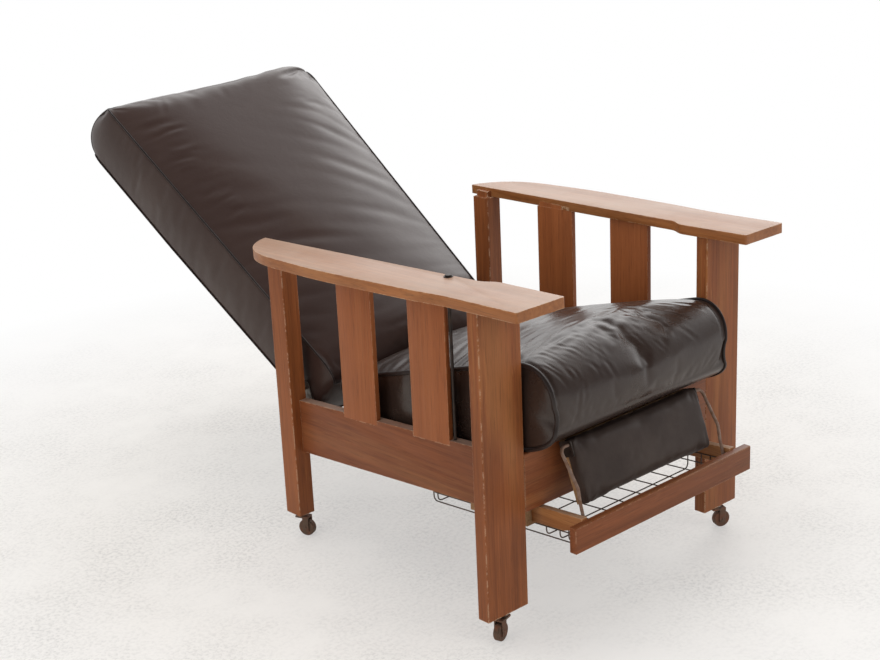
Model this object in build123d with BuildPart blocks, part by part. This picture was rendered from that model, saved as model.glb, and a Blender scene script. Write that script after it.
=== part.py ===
from build123d import *
from math import cos, hypot, pi, radians, sin, sqrt
import os

# Mission reclining armchair, in millimetres. +Z is up and the chair faces -Y. X = 0 is its middle,
# and left is its -X side. The origin is on the floor, under the middle of the chair's length.

zero = 0.0
overrun = 5.0
fit_gap = 0.06
rest_gap = 0.3
free_gap = 1.0
sides = (("left", -1), ("right", 1))

# Arms: flat boards that fall to the rear, wider behind the front leg and rounded at the rear
arm_front_y = -707.0
chair_width = 740.0
arm_top_z = 663.0
arm_fall_share = 0.023
arm_thickness = 19.5
arm_front_width = 118.0
arm_length = 788.0
arm_step_y = 150.0
arm_step_length = 45.0
arm_step_depth = 16.0
arm_inner_flare_share = 0.04
arm_nose_round = 4.0
# places on the outer edge: (share of the arm's length, share of its front width beyond the front corner)
arm_outer_shares = (
    (0.30, 0.06), (0.48, 0.135), (0.66, 0.18), (0.775, 0.155), (0.865, 0.10), (0.945, -0.12), (0.985, -0.41)
)

# Legs: wide flat boards in front, square posts behind
leg_foot_z = 52.0
front_leg_setback = 98.4
front_leg_width = 103.0
front_leg_depth = 27.0
front_leg_under_arm = 5.2
front_leg_outer_x = chair_width / 2 - front_leg_under_arm
front_leg_inner_x = front_leg_outer_x - front_leg_width
rear_leg_from_arm_end = 70.0
rear_leg_front_y = arm_front_y + arm_length - rear_leg_from_arm_end
rear_leg_depth = 46.0
rear_leg_width = 39.2
leg_round = 2.0
tenon_length = 14.0
tenon_shoulder = 6.0

# Rails and side slats; the side rails fall to the rear
rail_fall_share = 0.072
side_rail_inset = 8.2
side_rail_inner_x = front_leg_inner_x + side_rail_inset
rear_leg_inset = 1.6
rear_leg_inner_x = side_rail_inner_x + rear_leg_inset
side_rail_thickness = 20.0
side_rail_height = 114.0
side_rail_front_top_z = 351.5
front_rail_bottom_z = 236.0
front_rail_top_z = 350.0
front_rail_thickness = 24.0
rear_rail_before_leg = 77.0
rear_rail_front_y = rear_leg_front_y - rear_rail_before_leg
rear_rail_thickness = 22.0
rear_rail_bottom_z = 200.0
rear_rail_top_z = 250.0
side_slat_width = 101.0
side_slat_thickness = 10.0
side_slat_setbacks = (264.0, 471.5)
slat_tenon_length = 10.0

# Seat deck: bearers and slats that fall to the rear
deck_fall_share = 0.158
bearer_inset = 35.0
bearer_outer_x = side_rail_inner_x - bearer_inset
bearer_width = 20.0
bearer_height = 30.0
seat_slat_count = 6
seat_slat_width = 60.0
seat_slat_thickness = 12.0
seat_slat_end_gap = 27.0
seat_slat_margin = 22.0

# Leather, and the cross-sections that shape each pad
leather = 2.5
pad_sections = 19

# Seat cushion, wedge-shaped, with a rolled nose over the front rail
seat_setback = 38.0
seat_before_leg = 88.0
seat_side_gap = 20.0
seat_front_y = arm_front_y + seat_setback
seat_length = rear_leg_front_y - seat_before_leg - seat_front_y
seat_half_width = side_rail_inner_x - seat_side_gap
seat_seam_z = 537.5
seat_seam_fall_share = 0.284
seat_crown = 40.0
seat_draw = 5.0
# each rounded end: its reach along the pad, rise of the lower face, drop of the upper, inset of the sides
seat_nose = (84.0, 36.0, 88.0, 7.0)
seat_tail = (40.0, 12.0, 24.0, 8.0)

# Back: turns about pins in the rear legs; sizes are taken along it and square to it from the pins
pivot_in_leg = 27.0
pivot_y = rear_leg_front_y + pivot_in_leg
pivot_z = 325.0
recline_angle = 34.6
back_below_pivot = 54.0
back_length = 860.0
back_side_gap = 25.0
back_flare = 45.0
back_lower_half_width = side_rail_inner_x - back_side_gap
back_upper_half_width = back_lower_half_width + back_flare
back_front_n = 89.0
back_rear_n = -41.0
back_crown = 27.0
back_draw = 5.0
back_lower_end = (50.0, 0.0, 30.0, 10.0)
back_upper_end = (36.0, 0.0, 10.0, 7.0)
back_wrap = 9.0
back_panel_thickness = 4.0
stile_depth = 50.0
stile_width = 34.0
back_rail_width = 46.0
webbing_thickness = 1.6
webbing_width = 50.0
webbing_shares = (0.16, 0.29, 0.42, 0.62, 0.75, 0.88)

# Back pivots, with a lever on the left one that works the locking rod
pivot_pin_radius = 5.0
pivot_pin_in_leg = 27.0
pivot_pin_in_stile = 26.0
pivot_plate_thickness = 1.9
pivot_plate_width = 36.0
pivot_plate_height = 62.0
spacer_radius = 9.0
lever_length = 65.0
lever_angle = 20.0
lever_from_rail = 22.0
lever_inner_x = side_rail_inner_x - lever_from_rail
lever_thickness = 5.0
lever_hub_radius = 14.0
lever_end_radius = 9.0
lever_arm_share = 0.55
lever_pin_radius = 3.6

# Locking rod along the left rail, its guide and its clutch
lock_rod_from_rail = 12.0
lock_rod_x = side_rail_inner_x - lock_rod_from_rail
lock_rod_radius = 4.75
lock_rod_before_housing = 82.0
rod_end_thickness = 6.0
rod_end_width = 20.0
rod_end_height = 30.0
slot_gap = 0.35
rod_guide_before_leg = 152.0
rod_guide_length = 18.0
guide_wall = 8.0
housing_behind_button = 20.0
housing_length = 42.0
housing_lug = 6.0
housing_wall = 3.0
housing_depth = 24.0
housing_bottom_z = 236.0
housing_lug_top_z = 270.0
grip_thickness = 3.0
grip_hole_gap = 0.45
grip_width = 17.0
grip_hinge_drop = 16.0
grip_pin_radius = 2.0
grip_hub_radius = 4.5
grip_tail_rise = 11.0
grip_tail_end = 10.0

# Push button on the left arm and the rod under it
button_x = side_rail_inner_x + side_rail_thickness / 2
button_setback = 258.0
button_radius = 6.5
button_height = 10.0
button_stand = 3.0
cup_radius = 8.0
cup_flange_radius = 9.0
cup_flange_thickness = 1.0
cup_floor = 2.0
push_rod_radius = 3.0
push_rod_gap = 0.6
window_depth = 16.0
window_width = 20.0
window_height = 32.0
window_drop = 2.0
button_spring_radius = 4.6
button_spring_wire = 1.1
grip_spring_radius = 3.6
grip_spring_wire = 0.9
spring_turns = 4

# Footrest drawer, which slides along the fall of the side rails
drawer_front_reach = 18.0
drawer_front_y = arm_front_y - drawer_front_reach
drawer_front_thickness = 16.0
drawer_front_leg_gap = 6.8
drawer_front_half_width = front_leg_inner_x - drawer_front_leg_gap
drawer_front_round = 1.5
drawer_front_bottom_z = 187.0
drawer_front_top_z = 237.0
drawer_side_inset = 13.0
drawer_side_outer_x = bearer_outer_x - drawer_side_inset
drawer_side_thickness = 14.0
drawer_side_height = 34.0
drawer_side_length = 442.0
drawer_under_rail = 2.5
drawer_nose_length = 45.0
drawer_nose_rise = 12.0
tie_thickness = 15.0
tie_height = 26.0
guide_length = 150.0
guide_ledge = 6.0
guide_gap = 0.5
guide_reach = 12.5

# Wire basket under the drawer
basket_wire = 2.6
basket_depth = 30.0
basket_lap = 12.0
basket_front_gap = 12.0
basket_rear_gap = 14.0
basket_columns = 12
basket_rows = 12
basket_posts = 6

# Footrest pad on two bent wire stays that stand on the drawer
pad_pivot_under_seat = 28.0
pad_pivot_y = seat_front_y + pad_pivot_under_seat
pad_pivot_z = 352.0
pad_lean = 20.0
pad_pivot_inset = 9.0
pad_length = 122.0
pad_side_gap = 44.0
pad_half_width = drawer_side_outer_x - pad_side_gap
pad_cushion_thickness = 21.0
pad_board_thickness = 12.0
pad_crown = 7.0
pad_draw = 1.5
pad_end = (14.0, 0.0, 9.0, 3.0)
pad_plate_thickness = 2.5
pad_plate_length = 30.0
stay_from_pad = 25.0
stay_x = pad_half_width + stay_from_pad
stay_radius = 3.2
stay_foot_setback = 26.0
stay_foot_y = drawer_front_y + stay_foot_setback
stay_foot_z = 222.0
stay_bend = 12.0
stay_foot_bend = 4.5
stay_in_side = 11.0
stay_in_pad = 12.0
# bends between the foot and the pad's pivot, as shares of that distance back and up
stay_bend_shares = ((0.17, 0.27), (0.26, 0.49))

# Casters: a socket plate on the foot, a swivelling fork with its stem, and a wheel
socket_thickness = 2.0
socket_radius = 12.5
stem_radius = 4.9
stem_length = 32.0
fork_crown_z = 40.0
fork_crown_thickness = 4.0
fork_collar_radius = 8.0
fork_cheek = 2.5
fork_width_round = 7.0
wheel_radius = 18.0
wheel_width = 13.0
wheel_hub_radius = 6.0
wheel_edge_round = 2.0
axle_radius = 2.6
caster_trail = 14.0
# (name, side, heading of the wheel from the stem in degrees from +X)
front_casters = (("front_left", -1, 196.0), ("front_right", 1, -22.0))
rear_casters = (("rear_left", -1, -67.0), ("rear_right", 1, -100.0))

os.makedirs("parts", exist_ok=True)


def save(piece, name):
    """Label a finished piece and write its file."""
    piece.part.label = name
    export_step(piece.part, f"parts/{name}.step")


def block(x0, x1, y0, y1, z0, z1, mode=Mode.ADD):
    """A box between two corners, in the frame of the part being built."""
    with Locations(((x0 + x1) / 2, (y0 + y1) / 2, (z0 + z1) / 2)):
        Box(abs(x1 - x0), abs(y1 - y0), abs(z1 - z0), mode=mode)


def bar(start, end, radius, mode=Mode.ADD):
    """A round bar from start to end."""
    axis = Vector(*end) - Vector(*start)
    with Locations(Plane(origin=start, z_dir=axis)):
        Cylinder(radius, axis.length, align=(Align.CENTER, Align.CENTER, Align.MIN), mode=mode)


def side_face(x, *corners):
    """A flat face at x with the given (y, z) corners."""
    with BuildSketch(Plane.YZ.offset(x)) as face:
        with BuildLine():
            Polyline(*corners, close=True)
        make_face()
    return face.sketch


def coil(x, y, z, radius, wire, height, turns):
    """A compression spring standing at (x, y, z)."""
    rise = height - wire
    path = Pos(x, y, z + wire / 2) * Helix(rise / turns, rise, radius)
    print("spring: least gap between turns", round(rise / turns - wire, 2), "mm")
    with BuildPart() as spring:
        with BuildSketch(Plane(origin=path @ 0, z_dir=path % 0)):
            Circle(wire / 2)
        sweep(path=path)
    return spring.part


def ease(distance, reach, depth):
    """How far a rounded end cuts in: depth at the end itself, and nothing past its reach."""
    near = max(zero, 1 - distance / reach)
    return depth * (1 - sqrt(1 - near**2))


def padded(start, length, half_width, lower, upper, crown, draw, ends, skin=zero):
    """A stuffed pad lofted along the normal of start, with a crown, drawn-in sides and rounded ends.

    half_width, lower and upper give the half width and the faces at a distance along the pad.
    """
    with BuildPart() as pad:
        for index in range(pad_sections):
            share = (1 - cos(pi * index / (pad_sections - 1))) / 2
            place = share * length
            half = half_width(place) - skin
            low = lower(place) + skin
            high = upper(place) - skin
            for distance, (reach, rise, drop, inset) in zip((place, length - place), ends):
                half -= ease(distance, reach, inset)
                low += ease(distance, reach, rise)
                high -= ease(distance, reach, drop)
            swell = crown * sqrt(4 * share * (1 - share)) + rest_gap
            with BuildSketch(start.offset(skin + share * (length - 2 * skin))):
                with BuildLine():
                    Line((-half, low), (half, low))
                    ThreePointArc((half, low), (half - draw, (low + high) / 2), (half, high))
                    ThreePointArc((half, high), (zero, high + swell), (-half, high))
                    ThreePointArc((-half, high), (draw - half, (low + high) / 2), (-half, low))
                make_face()
        loft()
    return pad.part


def arm_under_z(y):
    """Height of the arms' underside."""
    drop = arm_thickness * hypot(1, arm_fall_share) + arm_fall_share * (y - arm_front_y)
    return arm_top_z - drop


# Front and rear of the pieces that others meet
front_leg_y = arm_front_y + front_leg_setback
front_leg_rear_y = front_leg_y + front_leg_depth
front_rail_rear_y = front_leg_y + front_rail_thickness
rear_leg_rear_y = rear_leg_front_y + rear_leg_depth
rear_leg_outer_x = rear_leg_inner_x + rear_leg_width
side_rail_outer_x = side_rail_inner_x + side_rail_thickness


def rail_top_z(y):
    """Height of the side rails' upper edge."""
    return side_rail_front_top_z - rail_fall_share * (y - front_leg_rear_y)


def deck_z(y):
    """Height of the seat deck's upper face."""
    return front_rail_top_z - deck_fall_share * (y - front_rail_rear_y)


# Arms and legs; each leg's tenon stands in the arm above it

arm_plane = Plane(origin=(zero, arm_front_y, arm_top_z), x_dir=(1, 0, 0), z_dir=(0, arm_fall_share, 1))
arm_outer_x = chair_width / 2
arm_inner_x = arm_outer_x - arm_front_width
button_y = arm_front_y + button_setback
leg_places = (
    ("front", front_leg_inner_x, front_leg_outer_x, front_leg_y, front_leg_rear_y),
    ("rear", rear_leg_inner_x, rear_leg_outer_x, rear_leg_front_y, rear_leg_rear_y),
)
slat_places = tuple(
    (arm_front_y + setback, arm_front_y + setback + side_slat_width) for setback in side_slat_setbacks
)
slat_inner_x = side_rail_outer_x - side_slat_thickness


def leg_tenon(side, inner_x, outer_x, y0, y1, mode=Mode.ADD):
    """The tenon on a leg's top, or its mortise in the arm."""
    top_z = arm_under_z(y1) + tenon_length
    block(
        side * (inner_x + tenon_shoulder), side * (outer_x - tenon_shoulder),
        y0 + tenon_shoulder, y1 - tenon_shoulder, arm_under_z(y1) - tenon_shoulder, top_z, mode,
    )


def slat_tenon(side, y0, y1, mode=Mode.ADD):
    """The tenon on a side slat's top, or its mortise in the arm."""
    block(
        side * (slat_inner_x + rest_gap), side * (side_rail_outer_x - rest_gap),
        y0 + tenon_shoulder, y1 - tenon_shoulder,
        arm_under_z(y1) - tenon_shoulder, arm_under_z(y1) + slat_tenon_length, mode,
    )


for name, side in sides:
    step_x = arm_inner_x + arm_step_depth
    step_end_y = arm_step_y + arm_step_length
    rear_x = step_x + arm_inner_flare_share * (arm_length - step_end_y)
    outer_points = [
        (side * (arm_outer_x + out * arm_front_width), along * arm_length) for along, out in arm_outer_shares
    ]
    with BuildPart() as arm:
        with BuildSketch(arm_plane):
            with BuildLine():
                Line((side * arm_inner_x, zero), (side * arm_outer_x, zero))
                Line((side * arm_outer_x, zero), (side * arm_outer_x, arm_step_y))
                Spline(
                    (side * arm_outer_x, arm_step_y),
                    *outer_points,
                    (side * rear_x, arm_length),
                    tangents=((0, 1), (-side, 0.05)),
                )
                Line((side * rear_x, arm_length), (side * step_x, step_end_y))
                Spline(
                    (side * step_x, step_end_y),
                    (side * arm_inner_x, arm_step_y),
                    tangents=((-side * arm_inner_flare_share, -1), (0, -1)),
                )
                Line((side * arm_inner_x, arm_step_y), (side * arm_inner_x, zero))
            make_face()
        extrude(amount=-arm_thickness)
        fillet(arm.edges().filter_by(Axis((0, 0, 0), arm_plane.z_dir)).group_by(Axis.Y)[0], arm_nose_round)
        for _, inner_x, outer_x, y0, y1 in leg_places:
            leg_tenon(side, inner_x, outer_x, y0, y1, Mode.SUBTRACT)
        for y0, y1 in slat_places:
            slat_tenon(side, y0, y1, Mode.SUBTRACT)
        if name == "left":
            flange_z = arm_under_z(button_y) + arm_thickness
            button_hole = (-button_x, button_y, zero), (-button_x, button_y, flange_z + overrun)
            bar(*button_hole, cup_radius, Mode.SUBTRACT)
    save(arm, f"arm_{name}")

    for end, inner_x, outer_x, y0, y1 in leg_places:
        rail_x = side_rail_inner_x + tenon_shoulder, side_rail_outer_x - tenon_shoulder
        with BuildPart() as leg:
            profile = side_face(
                side * inner_x,
                (y0, leg_foot_z), (y1, leg_foot_z), (y1, arm_under_z(y1)), (y0, arm_under_z(y0)),
            )
            extrude(profile, amount=side * (outer_x - inner_x))
            fillet(leg.edges().filter_by(Axis.Z), leg_round)
            leg_tenon(side, inner_x, outer_x, y0, y1)
            stem_place = (side * (inner_x + outer_x) / 2, (y0 + y1) / 2)
            bar(
                (*stem_place, leg_foot_z), (*stem_place, leg_foot_z + stem_length + free_gap),
                stem_radius + fit_gap, Mode.SUBTRACT,
            )
            if end == "front":
                block(
                    side * rail_x[0], side * rail_x[1], y1 - tenon_length, y1,
                    front_rail_bottom_z + tenon_shoulder, front_rail_top_z - 2 * tenon_shoulder,
                    Mode.SUBTRACT,
                )
                block(
                    side * inner_x, side * (inner_x + tenon_length),
                    y0 + tenon_shoulder, front_rail_rear_y - tenon_shoulder,
                    front_rail_bottom_z + tenon_shoulder, front_rail_top_z - tenon_shoulder, Mode.SUBTRACT,
                )
            else:
                rail_top = rail_top_z(y0)
                rail_z = rail_top - side_rail_height + tenon_shoulder, rail_top - 2 * tenon_shoulder
                block(side * rail_x[0], side * rail_x[1], y0, y0 + tenon_length, *rail_z, Mode.SUBTRACT)
                bar(
                    (side * inner_x, pivot_y, pivot_z),
                    (side * (inner_x + pivot_pin_in_leg + free_gap), pivot_y, pivot_z),
                    pivot_pin_radius + fit_gap, Mode.SUBTRACT,
                )
        save(leg, f"{end}_leg_{name}")

# Rails

guide_y = rear_leg_front_y - rod_guide_before_leg
housing_front_y = button_y + housing_behind_button
lock_rod_z = pivot_z - lever_length * (1 + cos(radians(lever_angle))) / 2
window_floor_z = lock_rod_z - window_drop

for name, side in sides:
    with BuildPart() as side_rail:
        profile = side_face(
            side * side_rail_inner_x,
            (front_leg_rear_y, rail_top_z(front_leg_rear_y)),
            (rear_leg_front_y, rail_top_z(rear_leg_front_y)),
            (rear_leg_front_y, rail_top_z(rear_leg_front_y) - side_rail_height),
            (front_leg_rear_y, rail_top_z(front_leg_rear_y) - side_rail_height),
        )
        extrude(profile, amount=side * side_rail_thickness)
        rail_x = side_rail_inner_x + tenon_shoulder, side_rail_outer_x - tenon_shoulder
        block(
            side * rail_x[0], side * rail_x[1], front_leg_rear_y - tenon_length, front_leg_rear_y,
            front_rail_bottom_z + 2 * tenon_shoulder, front_rail_top_z - 2 * tenon_shoulder,
        )
        rear_z = rail_top_z(rear_leg_front_y)
        block(
            side * rail_x[0], side * rail_x[1], rear_leg_front_y, rear_leg_front_y + tenon_length,
            rear_z - side_rail_height + tenon_shoulder, rear_z - 2 * tenon_shoulder,
        )
        block(
            side * side_rail_inner_x, side * (side_rail_inner_x + tenon_shoulder),
            rear_rail_front_y, rear_rail_front_y + rear_rail_thickness,
            rear_rail_bottom_z + tenon_shoulder, rear_rail_top_z - tenon_shoulder, Mode.SUBTRACT,
        )
        for y0, y1 in slat_places:
            notch = side_face(
                side * slat_inner_x, (y0, rail_top_z(y0) - slat_tenon_length),
                (y1, rail_top_z(y1) - slat_tenon_length), (y1, arm_top_z), (y0, arm_top_z),
            )
            extrude(notch, amount=side * side_slat_thickness, mode=Mode.SUBTRACT)
        if name == "left":
            bar(
                (-button_x, button_y, window_floor_z), (-button_x, button_y, arm_top_z),
                push_rod_radius + push_rod_gap, Mode.SUBTRACT,
            )
            block(
                -side_rail_inner_x, -side_rail_inner_x - window_depth,
                button_y - window_width / 2, button_y + window_width / 2,
                window_floor_z, window_floor_z + window_height, Mode.SUBTRACT,
            )
    save(side_rail, f"side_rail_{name}")

with BuildPart() as front_rail:
    block(
        -front_leg_inner_x, front_leg_inner_x, front_leg_y, front_rail_rear_y,
        front_rail_bottom_z, front_rail_top_z,
    )
    block(
        -front_leg_inner_x - tenon_length, front_leg_inner_x + tenon_length,
        front_leg_y + tenon_shoulder, front_rail_rear_y - tenon_shoulder,
        front_rail_bottom_z + tenon_shoulder, front_rail_top_z - tenon_shoulder,
    )
save(front_rail, "front_rail")

with BuildPart() as rear_rail:
    rear_rail_rear_y = rear_rail_front_y + rear_rail_thickness
    block(
        -side_rail_inner_x, side_rail_inner_x, rear_rail_front_y, rear_rail_rear_y,
        rear_rail_bottom_z, rear_rail_top_z,
    )
    block(
        -side_rail_inner_x - tenon_shoulder, side_rail_inner_x + tenon_shoulder,
        rear_rail_front_y, rear_rail_rear_y,
        rear_rail_bottom_z + tenon_shoulder, rear_rail_top_z - tenon_shoulder,
    )
save(rear_rail, "rear_rail")

# Side slats, two a side, between rail and arm

with BuildPart() as side_slats:
    for _, side in sides:
        for y0, y1 in slat_places:
            slat = side_face(
                side * slat_inner_x, (y0, rail_top_z(y0) - slat_tenon_length),
                (y1, rail_top_z(y1) - slat_tenon_length), (y1, arm_under_z(y1)), (y0, arm_under_z(y0)),
            )
            extrude(slat, amount=side * side_slat_thickness)
            slat_tenon(side, y0, y1)
save(side_slats, "side_slats")

# Seat deck

bearer_rear_z = deck_z(rear_rail_front_y) - seat_slat_thickness
bearer_front_z = deck_z(front_rail_rear_y) - seat_slat_thickness
with BuildPart() as seat_bearers:
    for _, side in sides:
        bearer = side_face(
            side * bearer_outer_x,
            (front_rail_rear_y, bearer_front_z), (rear_rail_front_y, bearer_rear_z),
            (rear_rail_front_y, bearer_rear_z - bearer_height),
            (front_rail_rear_y, bearer_front_z - bearer_height),
        )
        extrude(bearer, amount=-side * bearer_width)
save(seat_bearers, "seat_bearers")

deck_length = hypot(1, deck_fall_share) * (rear_rail_front_y - front_rail_rear_y)
deck_plane = Plane(
    origin=(zero, front_rail_rear_y, front_rail_top_z), x_dir=(1, 0, 0), z_dir=(0, deck_fall_share, 1)
)
slat_drop = seat_slat_thickness / hypot(1, deck_fall_share)
slat_end_x = side_rail_inner_x - seat_slat_end_gap
slat_pitch = (deck_length - 2 * seat_slat_margin - seat_slat_width) / (seat_slat_count - 1)
with BuildPart(deck_plane) as seat_slats:
    for index in range(seat_slat_count):
        slat_y = seat_slat_margin + index * slat_pitch
        block(-slat_end_x, slat_end_x, slat_y, slat_y + seat_slat_width, -slat_drop, zero)
save(seat_slats, "seat_slats")

# Seat cushion: a leather cover over its filling


def seat_lower_z(place):
    """Height of the seat cushion's lower face at a distance from its front."""
    return deck_z(seat_front_y + place) + rest_gap


def seat_upper_z(place):
    """Height of the seat cushion's side seam at a distance from its front."""
    return seat_seam_z - seat_seam_fall_share * place


seat_start = Plane(origin=(zero, seat_front_y, zero), x_dir=(-1, 0, 0), z_dir=(0, 1, 0))
seat_pads = [
    padded(
        seat_start, seat_length, lambda place: seat_half_width, seat_lower_z, seat_upper_z,
        seat_crown, seat_draw, (seat_nose, seat_tail), skin,
    )
    for skin in (zero, leather)
]
with BuildPart() as seat_filling:
    add(seat_pads[1])
save(seat_filling, "seat_filling")
with BuildPart(deck_plane) as deck_space:
    deck_half = seat_half_width + overrun
    block(-deck_half, deck_half, -seat_length, seat_length, -seat_slat_thickness, rest_gap)
with BuildPart() as seat_cover:
    add(seat_pads[0])
    add(seat_pads[1], mode=Mode.SUBTRACT)
    add(deck_space.part, mode=Mode.SUBTRACT)
save(seat_cover, "seat_cover")

# Back: a wooden frame with webbing, let into the rear of a leather cushion

recline = radians(recline_angle)
back_along = Vector(0, cos(recline), sin(recline))
back_normal = Vector(0, -sin(recline), cos(recline))
pivot = Vector(0, pivot_y, pivot_z)
back_start = Plane(origin=pivot - back_along * back_below_pivot, x_dir=(-1, 0, 0), z_dir=back_along)
back_plane = Plane(origin=pivot, x_dir=(1, 0, 0), z_dir=back_normal)
pocket_low = back_wrap - back_below_pivot
pocket_high = back_length - back_below_pivot - 2 * back_wrap
stile_rear_n = back_rear_n + back_panel_thickness
stile_front_n = stile_rear_n + stile_depth


def back_half_width(place):
    """Half the back's width at a distance from its lower end."""
    return back_lower_half_width + (back_upper_half_width - back_lower_half_width) * place / back_length


def frame_half_width(along):
    """Half the width over the stiles at a distance from the pivots."""
    return back_half_width(along + back_below_pivot) - back_wrap


def back_band(low, high, inset):
    """Corners of a band across the back, its ends on the stiles' slant and inset from their outer faces."""
    return [
        (frame_half_width(low) - inset, low), (frame_half_width(high) - inset, high),
        (inset - frame_half_width(high), high), (inset - frame_half_width(low), low),
    ]


def back_slab(corners, lower_n, thickness):
    """A flat piece of the back from its corners along the back."""
    with BuildPart() as slab:
        with BuildSketch(back_plane.offset(lower_n)):
            with BuildLine():
                Polyline(*corners, close=True)
            make_face()
        extrude(amount=thickness)
    return slab.part


pocket = back_slab(
    back_band(pocket_low, pocket_high, zero), back_rear_n - overrun,
    overrun + back_panel_thickness + stile_depth + webbing_thickness,
)
back_pads = [
    padded(
        back_start, back_length, back_half_width, lambda place: back_rear_n, lambda place: back_front_n,
        back_crown, back_draw, (back_lower_end, back_upper_end), skin,
    )
    for skin in (zero, leather)
]
stile_x = frame_half_width(zero)


def pin_holes(radius, inner_x, outer_x):
    """Holes for the pivot pins on both sides of the piece being built."""
    for _, side in sides:
        bar((side * inner_x, pivot_y, pivot_z), (side * outer_x, pivot_y, pivot_z), radius, Mode.SUBTRACT)


with BuildPart() as back_filling:
    add(back_pads[1])
    add(pocket, mode=Mode.SUBTRACT)
    pin_holes(spacer_radius + rest_gap, stile_x - overrun, lever_inner_x)
save(back_filling, "back_filling")
with BuildPart() as back_cover:
    add(back_pads[0])
    add(back_pads[1], mode=Mode.SUBTRACT)
    add(pocket, mode=Mode.SUBTRACT)
    pin_holes(spacer_radius + rest_gap, stile_x - overrun, lever_inner_x)
save(back_cover, "back_cover")

with BuildPart() as back_panel:
    add(back_slab(back_band(pocket_low, pocket_high, zero), back_rear_n, back_panel_thickness))
save(back_panel, "back_panel")

with BuildPart() as back_stiles:
    add(back_slab(back_band(pocket_low, pocket_high, zero), stile_rear_n, stile_depth))
    add(
        back_slab(back_band(pocket_low, pocket_high, stile_width), stile_rear_n, stile_depth),
        mode=Mode.SUBTRACT,
    )
    pin_holes(pivot_pin_radius, stile_x - pivot_pin_in_stile, stile_x + overrun)
save(back_stiles, "back_stiles")

rail_lows = {
    "back_bottom_rail": pocket_low,
    "back_middle_rail": (pocket_low + pocket_high - back_rail_width) / 2,
    "back_top_rail": pocket_high - back_rail_width,
}
for name, low in rail_lows.items():
    with BuildPart() as back_rail:
        add(back_slab(back_band(low, low + back_rail_width, stile_width), stile_rear_n, stile_depth))
    save(back_rail, name)

with BuildPart() as back_webbing:
    for share in webbing_shares:
        low = pocket_low + share * (pocket_high - pocket_low) - webbing_width / 2
        add(back_slab(back_band(low, low + webbing_width, back_wrap / 2), stile_front_n, webbing_thickness))
save(back_webbing, "back_webbing")

# Back pivots: pins fixed in the stiles turn in plates on the rear legs

plate_inner_x = rear_leg_inner_x - pivot_plate_thickness
with BuildPart() as pivot_plates:
    for _, side in sides:
        block(
            side * plate_inner_x, side * rear_leg_inner_x,
            pivot_y - pivot_plate_width / 2, pivot_y + pivot_plate_width / 2 - tenon_shoulder,
            pivot_z - pivot_plate_height / 2, pivot_z + pivot_plate_height / 2,
        )
    pin_holes(pivot_pin_radius + fit_gap, plate_inner_x - overrun, rear_leg_inner_x + overrun)
save(pivot_plates, "pivot_plates")

with BuildPart() as pivot_pins:
    for _, side in sides:
        bar(
            (side * (stile_x - pivot_pin_in_stile), pivot_y, pivot_z),
            (side * (rear_leg_inner_x + pivot_pin_in_leg), pivot_y, pivot_z), pivot_pin_radius,
        )
save(pivot_pins, "pivot_pins")

lever_outer_x = lever_inner_x + lever_thickness
spacer_start_x = frame_half_width(spacer_radius)
with BuildPart() as pivot_spacers:
    for side, start_x in ((-1, lever_outer_x), (1, spacer_start_x)):
        bar(
            (side * start_x, pivot_y, pivot_z), (side * (plate_inner_x - rest_gap), pivot_y, pivot_z),
            spacer_radius,
        )
    pin_holes(pivot_pin_radius, stile_x - overrun, rear_leg_inner_x)
save(pivot_spacers, "pivot_spacers")

# Recline lever on the left stile, and the pin that moves the locking rod

lever = radians(lever_angle)
lever_pin_y = pivot_y - lever_length * sin(lever)
lever_pin_z = pivot_z - lever_length * cos(lever)
lever_tip = pivot + back_along * lever_length * lever_arm_share
with BuildPart() as recline_lever:
    with BuildSketch(Plane.YZ.offset(-lever_outer_x)):
        with Locations((pivot_y, pivot_z)):
            Circle(lever_hub_radius)
        with Locations((lever_pin_y, lever_pin_z), (lever_tip.Y, lever_tip.Z)):
            Circle(lever_end_radius)
        make_hull()
    extrude(amount=lever_thickness)
    bar((-spacer_start_x, pivot_y, pivot_z), (-lever_inner_x, pivot_y, pivot_z), spacer_radius)
    pin_holes(pivot_pin_radius, stile_x - overrun, rear_leg_inner_x)
    bar(
        (-stile_x, lever_pin_y, lever_pin_z), (-rear_leg_inner_x, lever_pin_y, lever_pin_z),
        lever_pin_radius, Mode.SUBTRACT,
    )
save(recline_lever, "recline_lever")

rod_end_outer_x = lock_rod_x + rod_end_thickness / 2
with BuildPart() as lever_pin:
    bar(
        (-lever_inner_x, lever_pin_y, lever_pin_z),
        (-rod_end_outer_x - rest_gap * 2, lever_pin_y, lever_pin_z),
        lever_pin_radius,
    )
save(lever_pin, "lever_pin")

# Locking rod: a round rod with a slotted end on the lever pin

lever_rise = lever_length * (1 - cos(lever)) / 2
with BuildPart() as lock_rod:
    bar(
        (-lock_rod_x, housing_front_y - lock_rod_before_housing, lock_rod_z),
        (-lock_rod_x, lever_pin_y - lever_pin_radius - 2 * slot_gap, lock_rod_z), lock_rod_radius,
    )
    block(
        -lock_rod_x - rod_end_thickness / 2, -lock_rod_x + rod_end_thickness / 2,
        lever_pin_y - rod_end_width / 2, lever_pin_y + rod_end_width / 2,
        lock_rod_z - rod_end_height / 2, lock_rod_z + rod_end_height / 2,
    )
    block(
        -lock_rod_x - rod_end_thickness, -lock_rod_x + rod_end_thickness,
        lever_pin_y - lever_pin_radius - slot_gap, lever_pin_y + lever_pin_radius + slot_gap,
        lock_rod_z - lever_rise - lever_pin_radius - slot_gap,
        lock_rod_z + lever_rise + lever_pin_radius + slot_gap, Mode.SUBTRACT,
    )
save(lock_rod, "lock_rod")

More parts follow.
